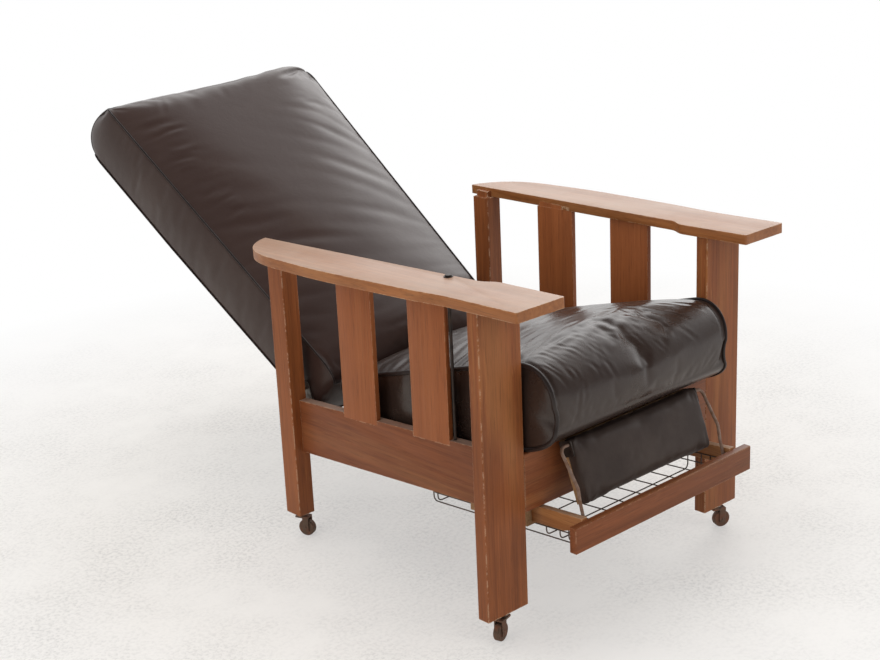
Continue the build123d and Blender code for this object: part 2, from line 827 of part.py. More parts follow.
with BuildPart() as rod_guide:
    block(
        -seat_half_width - free_gap, -side_rail_inner_x, guide_y, guide_y + rod_guide_length,
        lock_rod_z - guide_wall - lock_rod_radius, lock_rod_z + guide_wall + lock_rod_radius,
    )
    bar(
        (-lock_rod_x, guide_y - overrun, lock_rod_z),
        (-lock_rod_x, guide_y + rod_guide_length + overrun, lock_rod_z), lock_rod_radius + fit_gap,
        Mode.SUBTRACT,
    )
save(rod_guide, "rod_guide")

# Clutch: a housing whose lugs carry the rod, and a grip plate that bites on the rod until it is tilted

housing_rear_y = housing_front_y + housing_length
grip_y = (housing_front_y + housing_rear_y) / 2
grip_hinge_z = lock_rod_z - grip_hinge_drop
wall_x = side_rail_inner_x - housing_wall
with BuildPart() as lock_housing:
    block(
        -wall_x, -side_rail_inner_x, housing_front_y, housing_rear_y, housing_bottom_z, housing_lug_top_z,
    )
    for y0 in (housing_front_y, housing_rear_y - housing_lug):
        block(
            housing_depth - side_rail_inner_x, -wall_x, y0, y0 + housing_lug,
            housing_bottom_z, housing_lug_top_z,
        )
    bar(
        (-lock_rod_x, housing_front_y - overrun, lock_rod_z),
        (-lock_rod_x, housing_rear_y + overrun, lock_rod_z), lock_rod_radius + fit_gap, Mode.SUBTRACT,
    )
    bar(
        (-wall_x, grip_y, grip_hinge_z), (-side_rail_inner_x, grip_y, grip_hinge_z), grip_pin_radius,
        Mode.SUBTRACT,
    )
save(lock_housing, "lock_housing")

grip_inner_x = lock_rod_x - grip_width / 2
grip_outer_x = wall_x - rest_gap
with BuildPart() as grip_pin:
    bar(
        (-grip_inner_x, grip_y, grip_hinge_z), (-side_rail_inner_x, grip_y, grip_hinge_z), grip_pin_radius,
    )
save(grip_pin, "grip_pin")

tail_z = lock_rod_z + grip_tail_rise
tail_front_y = button_y - grip_tail_end / 2
tail_outer_x = button_x + grip_tail_end / 2 - free_gap
with BuildPart() as grip_plate:
    block(
        -grip_inner_x, -grip_outer_x, grip_y - grip_thickness / 2, grip_y + grip_thickness / 2,
        grip_hinge_z, tail_z + grip_thickness,
    )
    bar((-grip_inner_x, grip_y, grip_hinge_z), (-grip_outer_x, grip_y, grip_hinge_z), grip_hub_radius)
    block(
        -grip_inner_x, -grip_outer_x, tail_front_y, grip_y, tail_z, tail_z + grip_thickness,
    )
    block(
        -grip_outer_x, -tail_outer_x, tail_front_y, tail_front_y + grip_tail_end,
        tail_z, tail_z + grip_thickness,
    )
    bar(
        (-lock_rod_x, grip_y - overrun, lock_rod_z), (-lock_rod_x, grip_y + overrun, lock_rod_z),
        lock_rod_radius + grip_hole_gap, Mode.SUBTRACT,
    )
    bar(
        (-grip_inner_x + overrun, grip_y, grip_hinge_z), (-side_rail_outer_x, grip_y, grip_hinge_z),
        grip_pin_radius + fit_gap, Mode.SUBTRACT,
    )
save(grip_plate, "grip_plate")

with BuildPart() as grip_spring:
    add(coil(
        -button_x, button_y, window_floor_z, grip_spring_radius, grip_spring_wire,
        tail_z - window_floor_z, spring_turns,
    ))
save(grip_spring, "grip_spring")

# Push button, its cup and spring in the arm, and the push rod down to the grip plate's tail

flange_z = arm_under_z(button_y) + arm_thickness + arm_fall_share * cup_flange_radius
cup_bottom_z = arm_under_z(button_y)
button_bottom_z = flange_z + cup_flange_thickness + button_stand - button_height
with BuildPart() as button_cup:
    bar((-button_x, button_y, cup_bottom_z), (-button_x, button_y, flange_z), cup_radius)
    bar(
        (-button_x, button_y, flange_z), (-button_x, button_y, flange_z + cup_flange_thickness),
        cup_flange_radius,
    )
    bar(
        (-button_x, button_y, cup_bottom_z + cup_floor), (-button_x, button_y, flange_z + overrun),
        button_radius + fit_gap, Mode.SUBTRACT,
    )
    bar(
        (-button_x, button_y, zero), (-button_x, button_y, flange_z), push_rod_radius + fit_gap,
        Mode.SUBTRACT,
    )
save(button_cup, "button_cup")

with BuildPart() as push_button:
    bar(
        (-button_x, button_y, button_bottom_z), (-button_x, button_y, button_bottom_z + button_height),
        button_radius,
    )
    fillet(push_button.edges().group_by(Axis.Z)[-1], cup_flange_thickness)
save(push_button, "push_button")

with BuildPart() as push_rod:
    bar(
        (-button_x, button_y, tail_z + grip_thickness + rest_gap / 3), (-button_x, button_y, button_bottom_z),
        push_rod_radius,
    )
save(push_rod, "push_rod")

with BuildPart() as button_spring:
    add(coil(
        -button_x, button_y, cup_bottom_z + cup_floor, button_spring_radius, button_spring_wire,
        button_bottom_z - cup_bottom_z - cup_floor, spring_turns,
    ))
save(button_spring, "button_spring")

# Footrest drawer: its sides slide under the front rail, parallel to the side rails

drawer_inner_x = drawer_side_outer_x - drawer_side_thickness
drawer_board_rear_y = drawer_front_y + drawer_front_thickness
drawer_rear_y = drawer_board_rear_y + drawer_side_length


def drawer_top_z(y):
    """Height of the drawer sides' upper edge."""
    return front_rail_bottom_z - drawer_under_rail - rail_fall_share * (y - front_leg_y)


def drawer_bottom_z(y):
    """Height of the drawer sides' lower edge."""
    return drawer_top_z(y) - drawer_side_height


with BuildPart() as drawer_front:
    block(
        -drawer_front_half_width, drawer_front_half_width, drawer_front_y, drawer_board_rear_y,
        drawer_front_bottom_z, drawer_front_top_z,
    )
    fillet(drawer_front.edges().filter_by(Axis.X), drawer_front_round)
save(drawer_front, "drawer_front")

nose_y = drawer_board_rear_y + drawer_nose_length
for name, side in sides:
    with BuildPart() as drawer_side:
        profile = side_face(
            side * drawer_inner_x,
            (drawer_board_rear_y, drawer_top_z(drawer_board_rear_y)),
            (drawer_rear_y, drawer_top_z(drawer_rear_y)),
            (drawer_rear_y, drawer_bottom_z(drawer_rear_y)), (nose_y, drawer_bottom_z(nose_y)),
            (drawer_board_rear_y, drawer_bottom_z(drawer_board_rear_y) + drawer_nose_rise),
        )
        extrude(profile, amount=side * drawer_side_thickness)
        bar(
            (side * (drawer_inner_x - overrun), stay_foot_y, stay_foot_z),
            (side * (drawer_inner_x + stay_in_side), stay_foot_y, stay_foot_z), stay_radius + fit_gap,
            Mode.SUBTRACT,
        )
    save(drawer_side, f"drawer_side_{name}")

with BuildPart() as drawer_tie:
    tie_front_y = drawer_rear_y - tie_thickness
    tie_z = drawer_bottom_z(tie_front_y)
    block(-drawer_inner_x, drawer_inner_x, tie_front_y, drawer_rear_y, tie_z, tie_z + tie_height)
save(drawer_tie, "drawer_tie")

guide_rear_y = front_rail_rear_y + guide_length
guide_inner_x = drawer_side_outer_x + guide_gap
with BuildPart() as drawer_guides:
    for _, side in sides:
        web = side_face(
            side * guide_inner_x,
            (front_rail_rear_y, bearer_front_z - bearer_height),
            (guide_rear_y, bearer_front_z - bearer_height - deck_fall_share * guide_length),
            (guide_rear_y, drawer_bottom_z(guide_rear_y) - guide_gap - guide_ledge),
            (front_rail_rear_y, drawer_bottom_z(front_rail_rear_y) - guide_gap - guide_ledge),
        )
        extrude(web, amount=side * (bearer_outer_x - guide_inner_x))
        for edge_z in (
            drawer_top_z(front_rail_rear_y) + guide_gap,
            drawer_bottom_z(front_rail_rear_y) - guide_gap - guide_ledge,
        ):
            fall = rail_fall_share * guide_length
            ledge = side_face(
                side * (drawer_side_outer_x - guide_reach),
                (front_rail_rear_y, edge_z), (guide_rear_y, edge_z - fall),
                (guide_rear_y, edge_z - fall + guide_ledge), (front_rail_rear_y, edge_z + guide_ledge),
            )
            extrude(ledge, amount=side * (guide_reach + bearer_outer_x - drawer_side_outer_x))
save(drawer_guides, "drawer_guides")

# Wire basket that hangs inside the drawer's sides: a floor net, side nets and end nets

basket_x = drawer_inner_x - rest_gap
basket_front_y = drawer_board_rear_y + basket_front_gap
basket_rear_y = tie_front_y - basket_rear_gap
rise_share = hypot(1, rail_fall_share)
basket_length = (basket_rear_y - basket_front_y) * rise_share
basket_plane = Plane(
    origin=(zero, basket_front_y, drawer_bottom_z(basket_front_y) - basket_depth),
    x_dir=(1, 0, 0), z_dir=(0, rail_fall_share, 1),
)
basket_wall = basket_depth + basket_lap - basket_wire
with BuildPart() as basket_floor:
    with BuildSketch(basket_plane):
        with Locations((zero, basket_length / 2)):
            Rectangle(2 * basket_x, basket_length)
            gap_x = (2 * basket_x - basket_wire) / basket_columns
            gap_y = (basket_length - basket_wire) / basket_rows
            with GridLocations(gap_x, gap_y, basket_columns, basket_rows):
                Rectangle(gap_x - basket_wire, gap_y - basket_wire, mode=Mode.SUBTRACT)
    extrude(amount=basket_wire)
save(basket_floor, "basket_floor")

side_start = basket_plane.offset(basket_wire)
with BuildPart() as basket_sides:
    for _, side in sides:
        wall_plane = Plane(
            origin=side_start.origin + Vector(side * (basket_x - basket_wire), 0, 0),
            x_dir=basket_plane.y_dir, z_dir=(1, 0, 0),
        )
        with BuildSketch(wall_plane):
            with Locations((basket_length / 2, basket_wall / 2)):
                Rectangle(basket_length, basket_wall)
                gap = (basket_length - basket_wire) / basket_posts
                with GridLocations(gap, gap, basket_posts, 1):
                    Rectangle(gap - basket_wire, basket_wall - 2 * basket_wire, mode=Mode.SUBTRACT)
        extrude(amount=side * basket_wire)
save(basket_sides, "basket_sides")

with BuildPart() as basket_ends:
    for end_y in (zero, basket_length - basket_wire):
        end_plane = Plane(
            origin=side_start.origin + basket_plane.y_dir * (end_y + basket_wire), x_dir=(1, 0, 0),
            z_dir=-basket_plane.y_dir,
        )
        with BuildSketch(end_plane):
            end_half = basket_x - basket_wire
            with Locations((zero, basket_wall / 2)):
                Rectangle(2 * end_half, basket_wall)
                gap = (2 * end_half - basket_wire) / basket_posts
                with GridLocations(gap, gap, basket_posts, 1):
                    Rectangle(gap - basket_wire, basket_wall - 2 * basket_wire, mode=Mode.SUBTRACT)
        extrude(amount=basket_wire)
save(basket_ends, "basket_ends")

# Footrest stays: bent wires from holes in the drawer's sides up to the pad's pivots

pad_pivot = Vector(0, pad_pivot_y, pad_pivot_z)
stay_foot = Vector(0, stay_foot_y, stay_foot_z)
stay_run = pad_pivot - stay_foot
with BuildPart() as footrest_stays:
    for _, side in sides:
        foot = (side * (drawer_inner_x + stay_in_side), stay_foot_y, stay_foot_z)
        bends = [
            (side * stay_x, stay_foot_y + back * stay_run.Y, stay_foot_z + up * stay_run.Z)
            for back, up in stay_bend_shares
        ]
        with BuildLine() as stay_line:
            FilletPolyline(
                foot, (side * stay_x, stay_foot_y, stay_foot_z), *bends,
                (side * stay_x, pad_pivot_y, pad_pivot_z),
                (side * (pad_half_width - stay_in_pad), pad_pivot_y, pad_pivot_z),
                radius=[stay_foot_bend, stay_bend, stay_bend, stay_bend],
            )
        with BuildSketch(Plane(origin=foot, z_dir=(-side, 0, 0))):
            Circle(stay_radius)
        sweep(path=stay_line.line)
save(footrest_stays, "footrest_stays")

# Footrest pad: a leather cushion on a board, with plates that turn on the stays

lean = radians(pad_lean)
pad_down = Vector(0, -sin(lean), -cos(lean))
pad_front = Vector(0, -cos(lean), sin(lean))
pad_depth = pad_board_thickness + pad_cushion_thickness
pad_top = pad_pivot - pad_down * pad_pivot_inset - pad_front * (pad_depth - pad_pivot_inset)
pad_start = Plane(origin=pad_top, x_dir=(1, 0, 0), z_dir=pad_down)


def pad_holes(radius, inner_x):
    """Holes for the stays' upper ends in the piece being built."""
    for _, side in sides:
        bar(
            (side * inner_x, pad_pivot_y, pad_pivot_z), (side * stay_x, pad_pivot_y, pad_pivot_z),
            radius, Mode.SUBTRACT,
        )


with BuildPart() as footrest_cushion:
    add(padded(
        pad_start, pad_length, lambda place: pad_half_width, lambda place: pad_board_thickness,
        lambda place: pad_depth, pad_crown, pad_draw, (pad_end, pad_end),
    ))
    pad_holes(stay_radius + 2 * rest_gap, pad_half_width - stay_in_pad - free_gap)
save(footrest_cushion, "footrest_cushion")

with BuildPart() as footrest_board:
    with BuildSketch(pad_start):
        with Locations((zero, pad_board_thickness / 2)):
            Rectangle(2 * (pad_half_width - pad_draw), pad_board_thickness)
    extrude(amount=pad_length)
save(footrest_board, "footrest_board")

with BuildPart() as footrest_plates:
    for _, side in sides:
        plate_plane = Plane(
            origin=pad_top + Vector(side * pad_half_width, 0, 0), x_dir=pad_front, z_dir=(1, 0, 0)
        )
        with BuildSketch(plate_plane):
            with Locations((pad_depth / 2, pad_plate_length / 2 + pad_draw)):
                RectangleRounded(pad_depth - 2 * pad_draw, pad_plate_length, pad_plate_thickness)
        extrude(amount=side * pad_plate_thickness)
    pad_holes(stay_radius + fit_gap, pad_half_width - overrun)
save(footrest_plates, "footrest_plates")

# Casters

with BuildPart() as caster_sockets:
    for end, inner_x, outer_x, y0, y1 in leg_places:
        for _, side in sides:
            place = (side * (inner_x + outer_x) / 2, (y0 + y1) / 2)
            bar((*place, leg_foot_z - socket_thickness), (*place, leg_foot_z), socket_radius)
            bar((*place, zero), (*place, leg_foot_z + overrun), stem_radius + fit_gap, Mode.SUBTRACT)
save(caster_sockets, "caster_sockets")

fork_gap = wheel_width / 2 + free_gap / 2
fork_outer = fork_gap + fork_cheek
axle_z = wheel_radius
for casters, (_, inner_x, outer_x, y0, y1) in ((front_casters, leg_places[0]), (rear_casters, leg_places[1])):
    for name, side, heading in casters:
        turn = radians(heading)
        place = Plane(
            origin=(side * (inner_x + outer_x) / 2, (y0 + y1) / 2, zero),
            x_dir=(cos(turn), sin(turn), 0), z_dir=(0, 0, 1),
        )
        with BuildPart(place) as caster_fork:
            crown_top = fork_crown_z + fork_crown_thickness
            block(
                -fork_collar_radius - free_gap, caster_trail + fork_width_round, -fork_outer, fork_outer,
                fork_crown_z, crown_top,
            )
            for cheek in (-1, 1):
                block(
                    caster_trail - fork_width_round, caster_trail + fork_width_round,
                    cheek * fork_gap, cheek * fork_outer, axle_z - fork_width_round, fork_crown_z,
                )
            with Locations((zero, zero, crown_top)):
                Cylinder(
                    fork_collar_radius, leg_foot_z - socket_thickness - rest_gap - crown_top,
                    align=(Align.CENTER, Align.CENTER, Align.MIN),
                )
                Cylinder(
                    stem_radius, leg_foot_z + stem_length - crown_top,
                    align=(Align.CENTER, Align.CENTER, Align.MIN),
                )
            with Locations(Location((caster_trail, zero, axle_z), (90, 0, 0))):
                Cylinder(axle_radius, 2 * (fork_outer + free_gap))
        save(caster_fork, f"caster_fork_{name}")
        with BuildPart(place) as caster_wheel:
            with Locations(Location((caster_trail, zero, axle_z), (90, 0, 0))):
                Cylinder(wheel_radius, wheel_width)
                fillet(caster_wheel.edges(), wheel_edge_round)
                Cylinder(axle_radius + fit_gap, wheel_width, mode=Mode.SUBTRACT)
        save(caster_wheel, f"caster_wheel_{name}")
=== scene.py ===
"""Looks of a mission reclining armchair: worn oak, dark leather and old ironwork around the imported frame."""

from __future__ import annotations

import logging
import math
import random
from dataclasses import dataclass, field
from enum import Enum

import bpy
import numpy as np
from bpy.types import Material, Mesh, Node, NodeSocket, NodeTree, Object
from mathutils import Matrix, Vector

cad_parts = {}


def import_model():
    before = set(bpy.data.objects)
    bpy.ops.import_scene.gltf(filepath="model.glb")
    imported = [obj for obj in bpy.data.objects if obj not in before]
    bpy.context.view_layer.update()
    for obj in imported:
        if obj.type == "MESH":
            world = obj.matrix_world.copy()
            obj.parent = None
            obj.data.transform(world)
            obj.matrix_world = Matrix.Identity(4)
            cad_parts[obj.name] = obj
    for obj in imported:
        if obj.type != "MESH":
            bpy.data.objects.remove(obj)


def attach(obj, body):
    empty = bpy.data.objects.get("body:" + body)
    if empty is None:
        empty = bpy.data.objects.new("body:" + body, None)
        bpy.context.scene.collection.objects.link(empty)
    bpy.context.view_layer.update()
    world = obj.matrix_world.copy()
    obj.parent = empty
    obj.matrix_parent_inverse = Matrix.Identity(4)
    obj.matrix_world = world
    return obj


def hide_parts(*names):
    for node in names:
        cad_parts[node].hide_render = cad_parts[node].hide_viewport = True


log = logging.getLogger("armchair")

MM = 0.001
ARM_FRONT_Y = -0.707
Point = tuple[float, float, float]
Colour = tuple[float, float, float]


class Grain(Enum):
    """The direction in which a board's grain runs."""

    ACROSS = "across"
    ALONG = "along"
    UPRIGHT = "upright"
    TILTED = "tilted"


# Small helpers


def seat_place(x: float, y: float, z: float) -> Vector:
    """A point in metres from millimetres, with y counted back from the arms' front ends."""
    return Vector((x * MM, ARM_FRONT_Y + y * MM, z * MM))


def deselect() -> None:
    """Leave edit mode and deselect every object."""
    if bpy.context.object and bpy.context.object.mode != "OBJECT":
        bpy.ops.object.mode_set(mode="OBJECT")
    bpy.ops.object.select_all(action="DESELECT")


def activate(obj: Object) -> None:
    """Make obj the only selected and the active object."""
    deselect()
    obj.select_set(True)
    bpy.context.view_layer.objects.active = obj


def add_modifier(obj: Object, kind: str, **settings: object) -> None:
    """Add a modifier with its settings and apply it."""
    activate(obj)
    modifier = obj.modifiers.new(kind.title(), kind)
    for key, value in settings.items():
        setattr(modifier, key, value)
    bpy.ops.object.modifier_apply(modifier=modifier.name)


def smooth(obj: Object, degrees: float) -> None:
    """Shade obj smooth, with sharp edges above an angle."""
    activate(obj)
    bpy.ops.object.shade_smooth_by_angle(angle=math.radians(degrees))


def new_object(name: str, data: bpy.types.ID) -> Object:
    """A new object in the scene that shows data."""
    obj = bpy.data.objects.new(name, data)
    bpy.context.scene.collection.objects.link(obj)
    return obj


def paint(obj: Object, material: Material) -> None:
    """Give every slot of obj one material."""
    if not obj.material_slots:
        obj.data.materials.append(material)
    for place in obj.material_slots:
        place.material = material


def wires(
    name: str, paths: list[list[Vector]], radius: float, bend: float, sides: int = 2
) -> Object:
    """Round wires as one mesh, each along the corners of its path, with bends of one radius."""
    curve = bpy.data.curves.new(name, "CURVE")
    curve.dimensions = "3D"
    curve.bevel_depth = radius
    curve.bevel_resolution = sides
    curve.use_fill_caps = True
    for path in paths:
        points = bent(path, bend)
        spline = curve.splines.new("POLY")
        spline.points.add(len(points) - 1)
        for point, place in zip(spline.points, points):
            point.co = (*place, 1)
    activate(new_object(name, curve))
    bpy.ops.object.convert(target="MESH")
    obj = bpy.context.view_layer.objects.active
    obj.data.name = name
    smooth(obj, 60)
    return obj


def bent(path: list[Vector], bend: float, steps: int = 5) -> list[Vector]:
    """A path with its corners rounded into bends, which are tighter where a run is short."""
    if not bend:
        return path
    out = [path[0]]
    for before, corner, after in zip(path, path[1:], path[2:]):
        into, away = before - corner, after - corner
        reach = min(bend, 0.45 * into.length, 0.45 * away.length)
        start, end = corner + into.normalized() * reach, corner + away.normalized() * reach
        for step in range(steps + 1):
            share = step / steps
            out.append(start.lerp(corner, share).lerp(corner.lerp(end, share), share))
    out.append(path[-1])
    return out


# Shader nodes


class Tree:
    """A short hand for placing and joining the nodes of one tree."""

    def __init__(self, tree: NodeTree) -> None:
        """Keep the tree that the nodes go into."""
        self.tree = tree

    def add(
        self, kind: str, inputs: dict[str | int, object] | None = None, **settings: object
    ) -> Node:
        """Add a node of a kind, without its ShaderNode prefix, with values or sockets for its inputs."""
        node = self.tree.nodes.new("ShaderNode" + kind)
        for key, value in settings.items():
            setattr(node, key, value)
        self.join(node, inputs or {})
        return node

    def join(self, node: Node, values: dict[str | int, object]) -> None:
        """Join sockets, or set values, on a node's inputs."""
        for key, value in values.items():
            if isinstance(value, NodeSocket):
                self.tree.links.new(value, node.inputs[key])
            else:
                node.inputs[key].default_value = value

    def output(self, values: dict[str, object]) -> None:
        """Join the values to a group's outputs."""
        self.join(self.tree.nodes.new("NodeGroupOutput"), values)

    def maths(self, operation: str, first: object, second: object = 0.0) -> NodeSocket:
        """The result of a math node on two values or sockets."""
        return self.add("Math", {0: first, 1: second}, operation=operation).outputs[0]

    def times(self, first: object, *others: object) -> NodeSocket:
        """The product of values or sockets."""
        for other in others:
            first = self.maths("MULTIPLY", first, other)
        return first

    def dot(self, first: object, second: object) -> NodeSocket:
        """The dot product of two vectors."""
        return self.add("VectorMath", {0: first, 1: second}, operation="DOT_PRODUCT").outputs["Value"]

    def turned(self, vector: object, **settings: object) -> NodeSocket:
        """A vector after a mapping's scale or rotation."""
        return self.add("Mapping", {"Vector": vector, **settings}).outputs[0]

    def ramp(
        self, value: object, low: float, high: float, to: tuple[float, float] = (0, 1)
    ) -> NodeSocket:
        """A clamped map of a value's range to another."""
        return self.add(
            "MapRange", {"Value": value, "From Min": low, "From Max": high, "To Min": to[0], "To Max": to[1]}
        ).outputs[0]

    def mix(self, share: object, first: object, second: object) -> NodeSocket:
        """A mix of two colours or sockets."""
        node = self.add("Mix", {0: share, 6: first, 7: second}, data_type="RGBA")
        return node.outputs[2]

    def noise(
        self, vector: object, scale: float, detail: float = 4.0, roughness: float = 0.55
    ) -> NodeSocket:
        """The value of a noise texture."""
        return self.add(
            "TexNoise", {"Vector": vector, "Scale": scale, "Detail": detail, "Roughness": roughness}
        ).outputs[0]


def group(
    name: str, inputs: dict[str, object], outputs: tuple[str, ...]
) -> tuple[NodeTree, Tree, Node]:
    """A new shader node group with named sockets.

    Args:
        name: the group's name.
        inputs: a default for each input: a number, a colour, or None for a vector.
        outputs: names of the outputs; one that ends in Color is a colour.

    Returns:
        The group, a hand for its nodes and its input node.
    """
    made = bpy.data.node_groups.new(name, "ShaderNodeTree")
    for key, value in inputs.items():
        kind = "Vector" if value is None else "Color" if isinstance(value, tuple) else "Float"
        socket = made.interface.new_socket(key, in_out="INPUT", socket_type="NodeSocket" + kind)
        if value is not None:
            socket.default_value = value
    for key in outputs:
        kind = "Color" if key.endswith("Color") else "Float"
        made.interface.new_socket(key, in_out="OUTPUT", socket_type="NodeSocket" + kind)
    hand = Tree(made)
    return made, hand, made.nodes.new("NodeGroupInput")


class Effects:
    """The shader node groups that several finishes share."""

    def __init__(self) -> None:
        """Build each group once."""
        self.grain = self.build_grain()
        self.wear = self.build_wear()
        self.hide = self.build_hide()
        self.grime = self.build_grime()

    def build_grain(self) -> NodeTree:
        """Stained wood along its vector's first axis: soft bands, streaks, pores, rings and flecks."""
        made, hand, start = group(
            "oak_grain",
            {
                "Vector": None, "Light": (0.4, 0.2, 0.1, 1), "Dark": (0.2, 0.08, 0.04, 1),
                "Fleck Color": (0.5, 0.25, 0.1, 1), "Flecks": 0.3,
            },
            ("Color", "Height", "Dull"),
        )
        vector = start.outputs["Vector"]

        def streaks(size: Point, detail: float, roughness: float) -> NodeSocket:
            """A noise that is drawn out along the grain."""
            return hand.noise(hand.turned(vector, Scale=size), 1.0, detail, roughness)

        bands = streaks((1.2, 17, 17), 3, 0.55)
        lines = streaks((2.6, 130, 130), 4, 0.7)
        pores = hand.ramp(streaks((17, 620, 620), 2, 0.7), 0.55, 0.68)
        flecks = hand.ramp(streaks((22, 240, 240), 3, 0.6), 0.56, 0.66)
        patches = hand.ramp(streaks((1.6, 13, 13), 2, 0.5), 0.45, 0.62)
        rings = hand.add(
            "TexWave",
            {
                "Vector": hand.turned(vector, Scale=(0.9, 22, 22)),
                "Scale": 1.0, "Distortion": 4.0, "Detail": 3.0, "Detail Scale": 1.5,
            },
            bands_direction="Y",
        ).outputs[1]
        flecks = hand.maths("MAXIMUM", flecks, hand.ramp(rings, 0.55, 0.95))
        figure = hand.maths("ADD", hand.times(bands, 0.45), hand.times(lines, 0.55))
        colour = hand.mix(hand.ramp(figure, 0.36, 0.64), start.outputs["Light"], start.outputs["Dark"])
        golden = hand.times(flecks, patches, start.outputs["Flecks"])
        colour = hand.mix(golden, colour, start.outputs["Fleck Color"])
        colour = hand.mix(hand.times(pores, 0.38), colour, (0.03, 0.011, 0.005, 1))
        hand.output({
            "Color": colour,
            "Height": hand.maths("SUBTRACT", hand.times(lines, 0.5), hand.times(pores, 0.5)),
            "Dull": hand.ramp(bands, 0.3, 0.7, (0.0, 0.1)),
        })
        return made

    def build_wear(self) -> NodeTree:
        """Rubbed arrises: a mask where the surface turns a corner, broken up by noise."""
        made, hand, start = group("edge_wear", {"Vector": None, "Radius": 0.004, "Amount": 1.0}, ("Mask",))
        rounded = hand.add("Bevel", {"Radius": start.outputs["Radius"]}, samples=4).outputs[0]
        plain = hand.add("NewGeometry").outputs["Normal"]
        edge = hand.ramp(hand.dot(rounded, plain), 0.985, 0.86)
        patchy = hand.ramp(hand.noise(start.outputs["Vector"], 60, 6, 0.75), 0.48, 0.52)
        hand.output({"Mask": hand.times(edge, patchy, start.outputs["Amount"])})
        return made

    def build_hide(self) -> NodeTree:
        """Leather's grain: small pebbles, soft stretch marks and worn patches."""
        made, hand, start = group("hide", {"Vector": None, "Scale": 1.0}, ("Height", "Worn"))
        scaled = hand.add(
            "VectorMath", {0: start.outputs["Vector"], "Scale": start.outputs["Scale"]}, operation="SCALE"
        ).outputs[0]
        cells = hand.add(
            "TexVoronoi", {"Vector": scaled, "Scale": 620.0}, feature="SMOOTH_F1"
        ).outputs["Distance"]
        soft = hand.noise(scaled, 46, 4, 0.6)
        folds = hand.add(
            "TexNoise", {"Vector": scaled, "Scale": 15.0, "Detail": 3.0, "Distortion": 1.6}
        ).outputs[0]
        folds = hand.maths("ABSOLUTE", hand.maths("SUBTRACT", folds, 0.5))
        folds = hand.ramp(folds, 0.0, 0.045)
        height = hand.maths("ADD", hand.times(cells, 0.25), hand.times(soft, 0.9))
        height = hand.maths("ADD", height, hand.times(folds, 0.15))
        hand.output({"Height": height, "Worn": hand.ramp(hand.noise(scaled, 5.5, 5, 0.6), 0.42, 0.68)})
        return made

    def build_grime(self) -> NodeTree:
        """Patches of rust, dirt or rubbing: a mask and a fine height."""
        made, hand, start = group(
            "grime", {"Vector": None, "Scale": 60.0, "Low": 0.4, "High": 0.65}, ("Mask", "Height")
        )
        blots = hand.add(
            "TexNoise", {"Vector": start.outputs["Vector"], "Scale": start.outputs["Scale"], "Detail": 7.0}
        ).outputs[0]
        mask = hand.add(
            "MapRange", {"Value": blots, "From Min": start.outputs["Low"], "From Max": start.outputs["High"]}
        ).outputs[0]
        fine = hand.noise(start.outputs["Vector"], 900, 3, 0.6)
        hand.output({"Mask": mask, "Height": fine})
        return made


def shader(name: str) -> tuple[Material, Tree, Node, NodeSocket]:
    """A new material, a hand for its nodes, its Principled BSDF and its Object coordinates."""
    material = bpy.data.materials.new(name)
    material.use_nodes = True
    hand = Tree(material.node_tree)
    surface = material.node_tree.nodes["Principled BSDF"]
    return material, hand, surface, hand.add("TexCoord").outputs["Object"]


def bump(hand: Tree, height: object, strength: float, depth: float) -> NodeSocket:
    """The normal that a height gives."""
    return hand.add("Bump", {"Height": height, "Strength": strength, "Distance": depth}).outputs[0]


# Finishes


@dataclass(frozen=True)
class Oak:
    """Stained wood with an old shiny finish: its colours, its grain's direction, how worn it is, and a paler
    colour on upward faces that is partly dust and rubbing and partly a painted sheen.
    """

    name: str
    grain: Grain
    light: Colour
    dark: Colour
    fleck: Colour = (0.46, 0.22, 0.085)
    flecks: float = 0.3
    # top and its share: a paler colour for upward faces, partly dust and rubbing, partly a painted sheen of
    # light on the tops
    top: Colour = (0.47, 0.29, 0.17)
    worn: Colour = (0.60, 0.40, 0.25)
    dust_and_sheen_share: float = 0.0
    wear: float = 0.7
    rough: float = 0.4
    shine: float = 0.3

    def turn(self) -> Point:
        """The turn that brings the grain to the first axis."""
        return {
            Grain.ACROSS: (0.0, 0.0, 0.0),
            Grain.ALONG: (0.0, 0.0, math.pi / 2),
            Grain.UPRIGHT: (0.0, math.pi / 2, 0.0),
            Grain.TILTED: (0.0, math.pi / 2, 0.6),
        }[self.grain]

    def build(self, effects: Effects) -> Material:
        """The wood's material."""
        material, hand, surface, place = shader(self.name)
        grain = hand.add("Group", node_tree=effects.grain)
        hand.join(grain, {
            "Vector": hand.turned(place, Rotation=self.turn()), "Flecks": self.flecks,
            "Light": (*self.light, 1), "Dark": (*self.dark, 1), "Fleck Color": (*self.fleck, 1),
        })
        colour = grain.outputs["Color"]
        broad = hand.ramp(hand.noise(place, 3.2, 3), 0.35, 0.65)
        colour = hand.mix(hand.times(broad, 0.28), colour, (*[c * 0.6 for c in self.dark], 1))
        # Upward faces turn paler in patches: partly dust and rubbing, partly a painted sheen where the tops
        # catch light
        if self.dust_and_sheen_share:
            up = hand.add("SeparateXYZ", {0: hand.add("TexCoord").outputs["Normal"]}).outputs[2]
            faces_up = hand.ramp(up, 0.6, 0.95)
            rubbed = hand.ramp(hand.noise(place, 7.0, 5, 0.6), 0.3, 0.62, (0.5, 1.0))
            share = hand.times(faces_up, rubbed, self.dust_and_sheen_share)
            colour = hand.mix(share, colour, hand.mix(0.42, (*self.top, 1), grain.outputs["Color"]))
        wear = hand.add(
            "Group", {"Vector": place, "Radius": 0.003, "Amount": self.wear}, node_tree=effects.wear
        )
        colour = hand.mix(wear.outputs["Mask"], colour, (*self.worn, 1))
        dull = hand.maths("ADD", grain.outputs["Dull"], self.rough)
        hand.join(surface, {
            "Base Color": colour,
            "Roughness": hand.maths("ADD", dull, hand.times(wear.outputs["Mask"], 0.2)),
            "Normal": bump(hand, grain.outputs["Height"], 0.25, 0.0004),
            "Specular IOR Level": self.shine,
        })
        return material


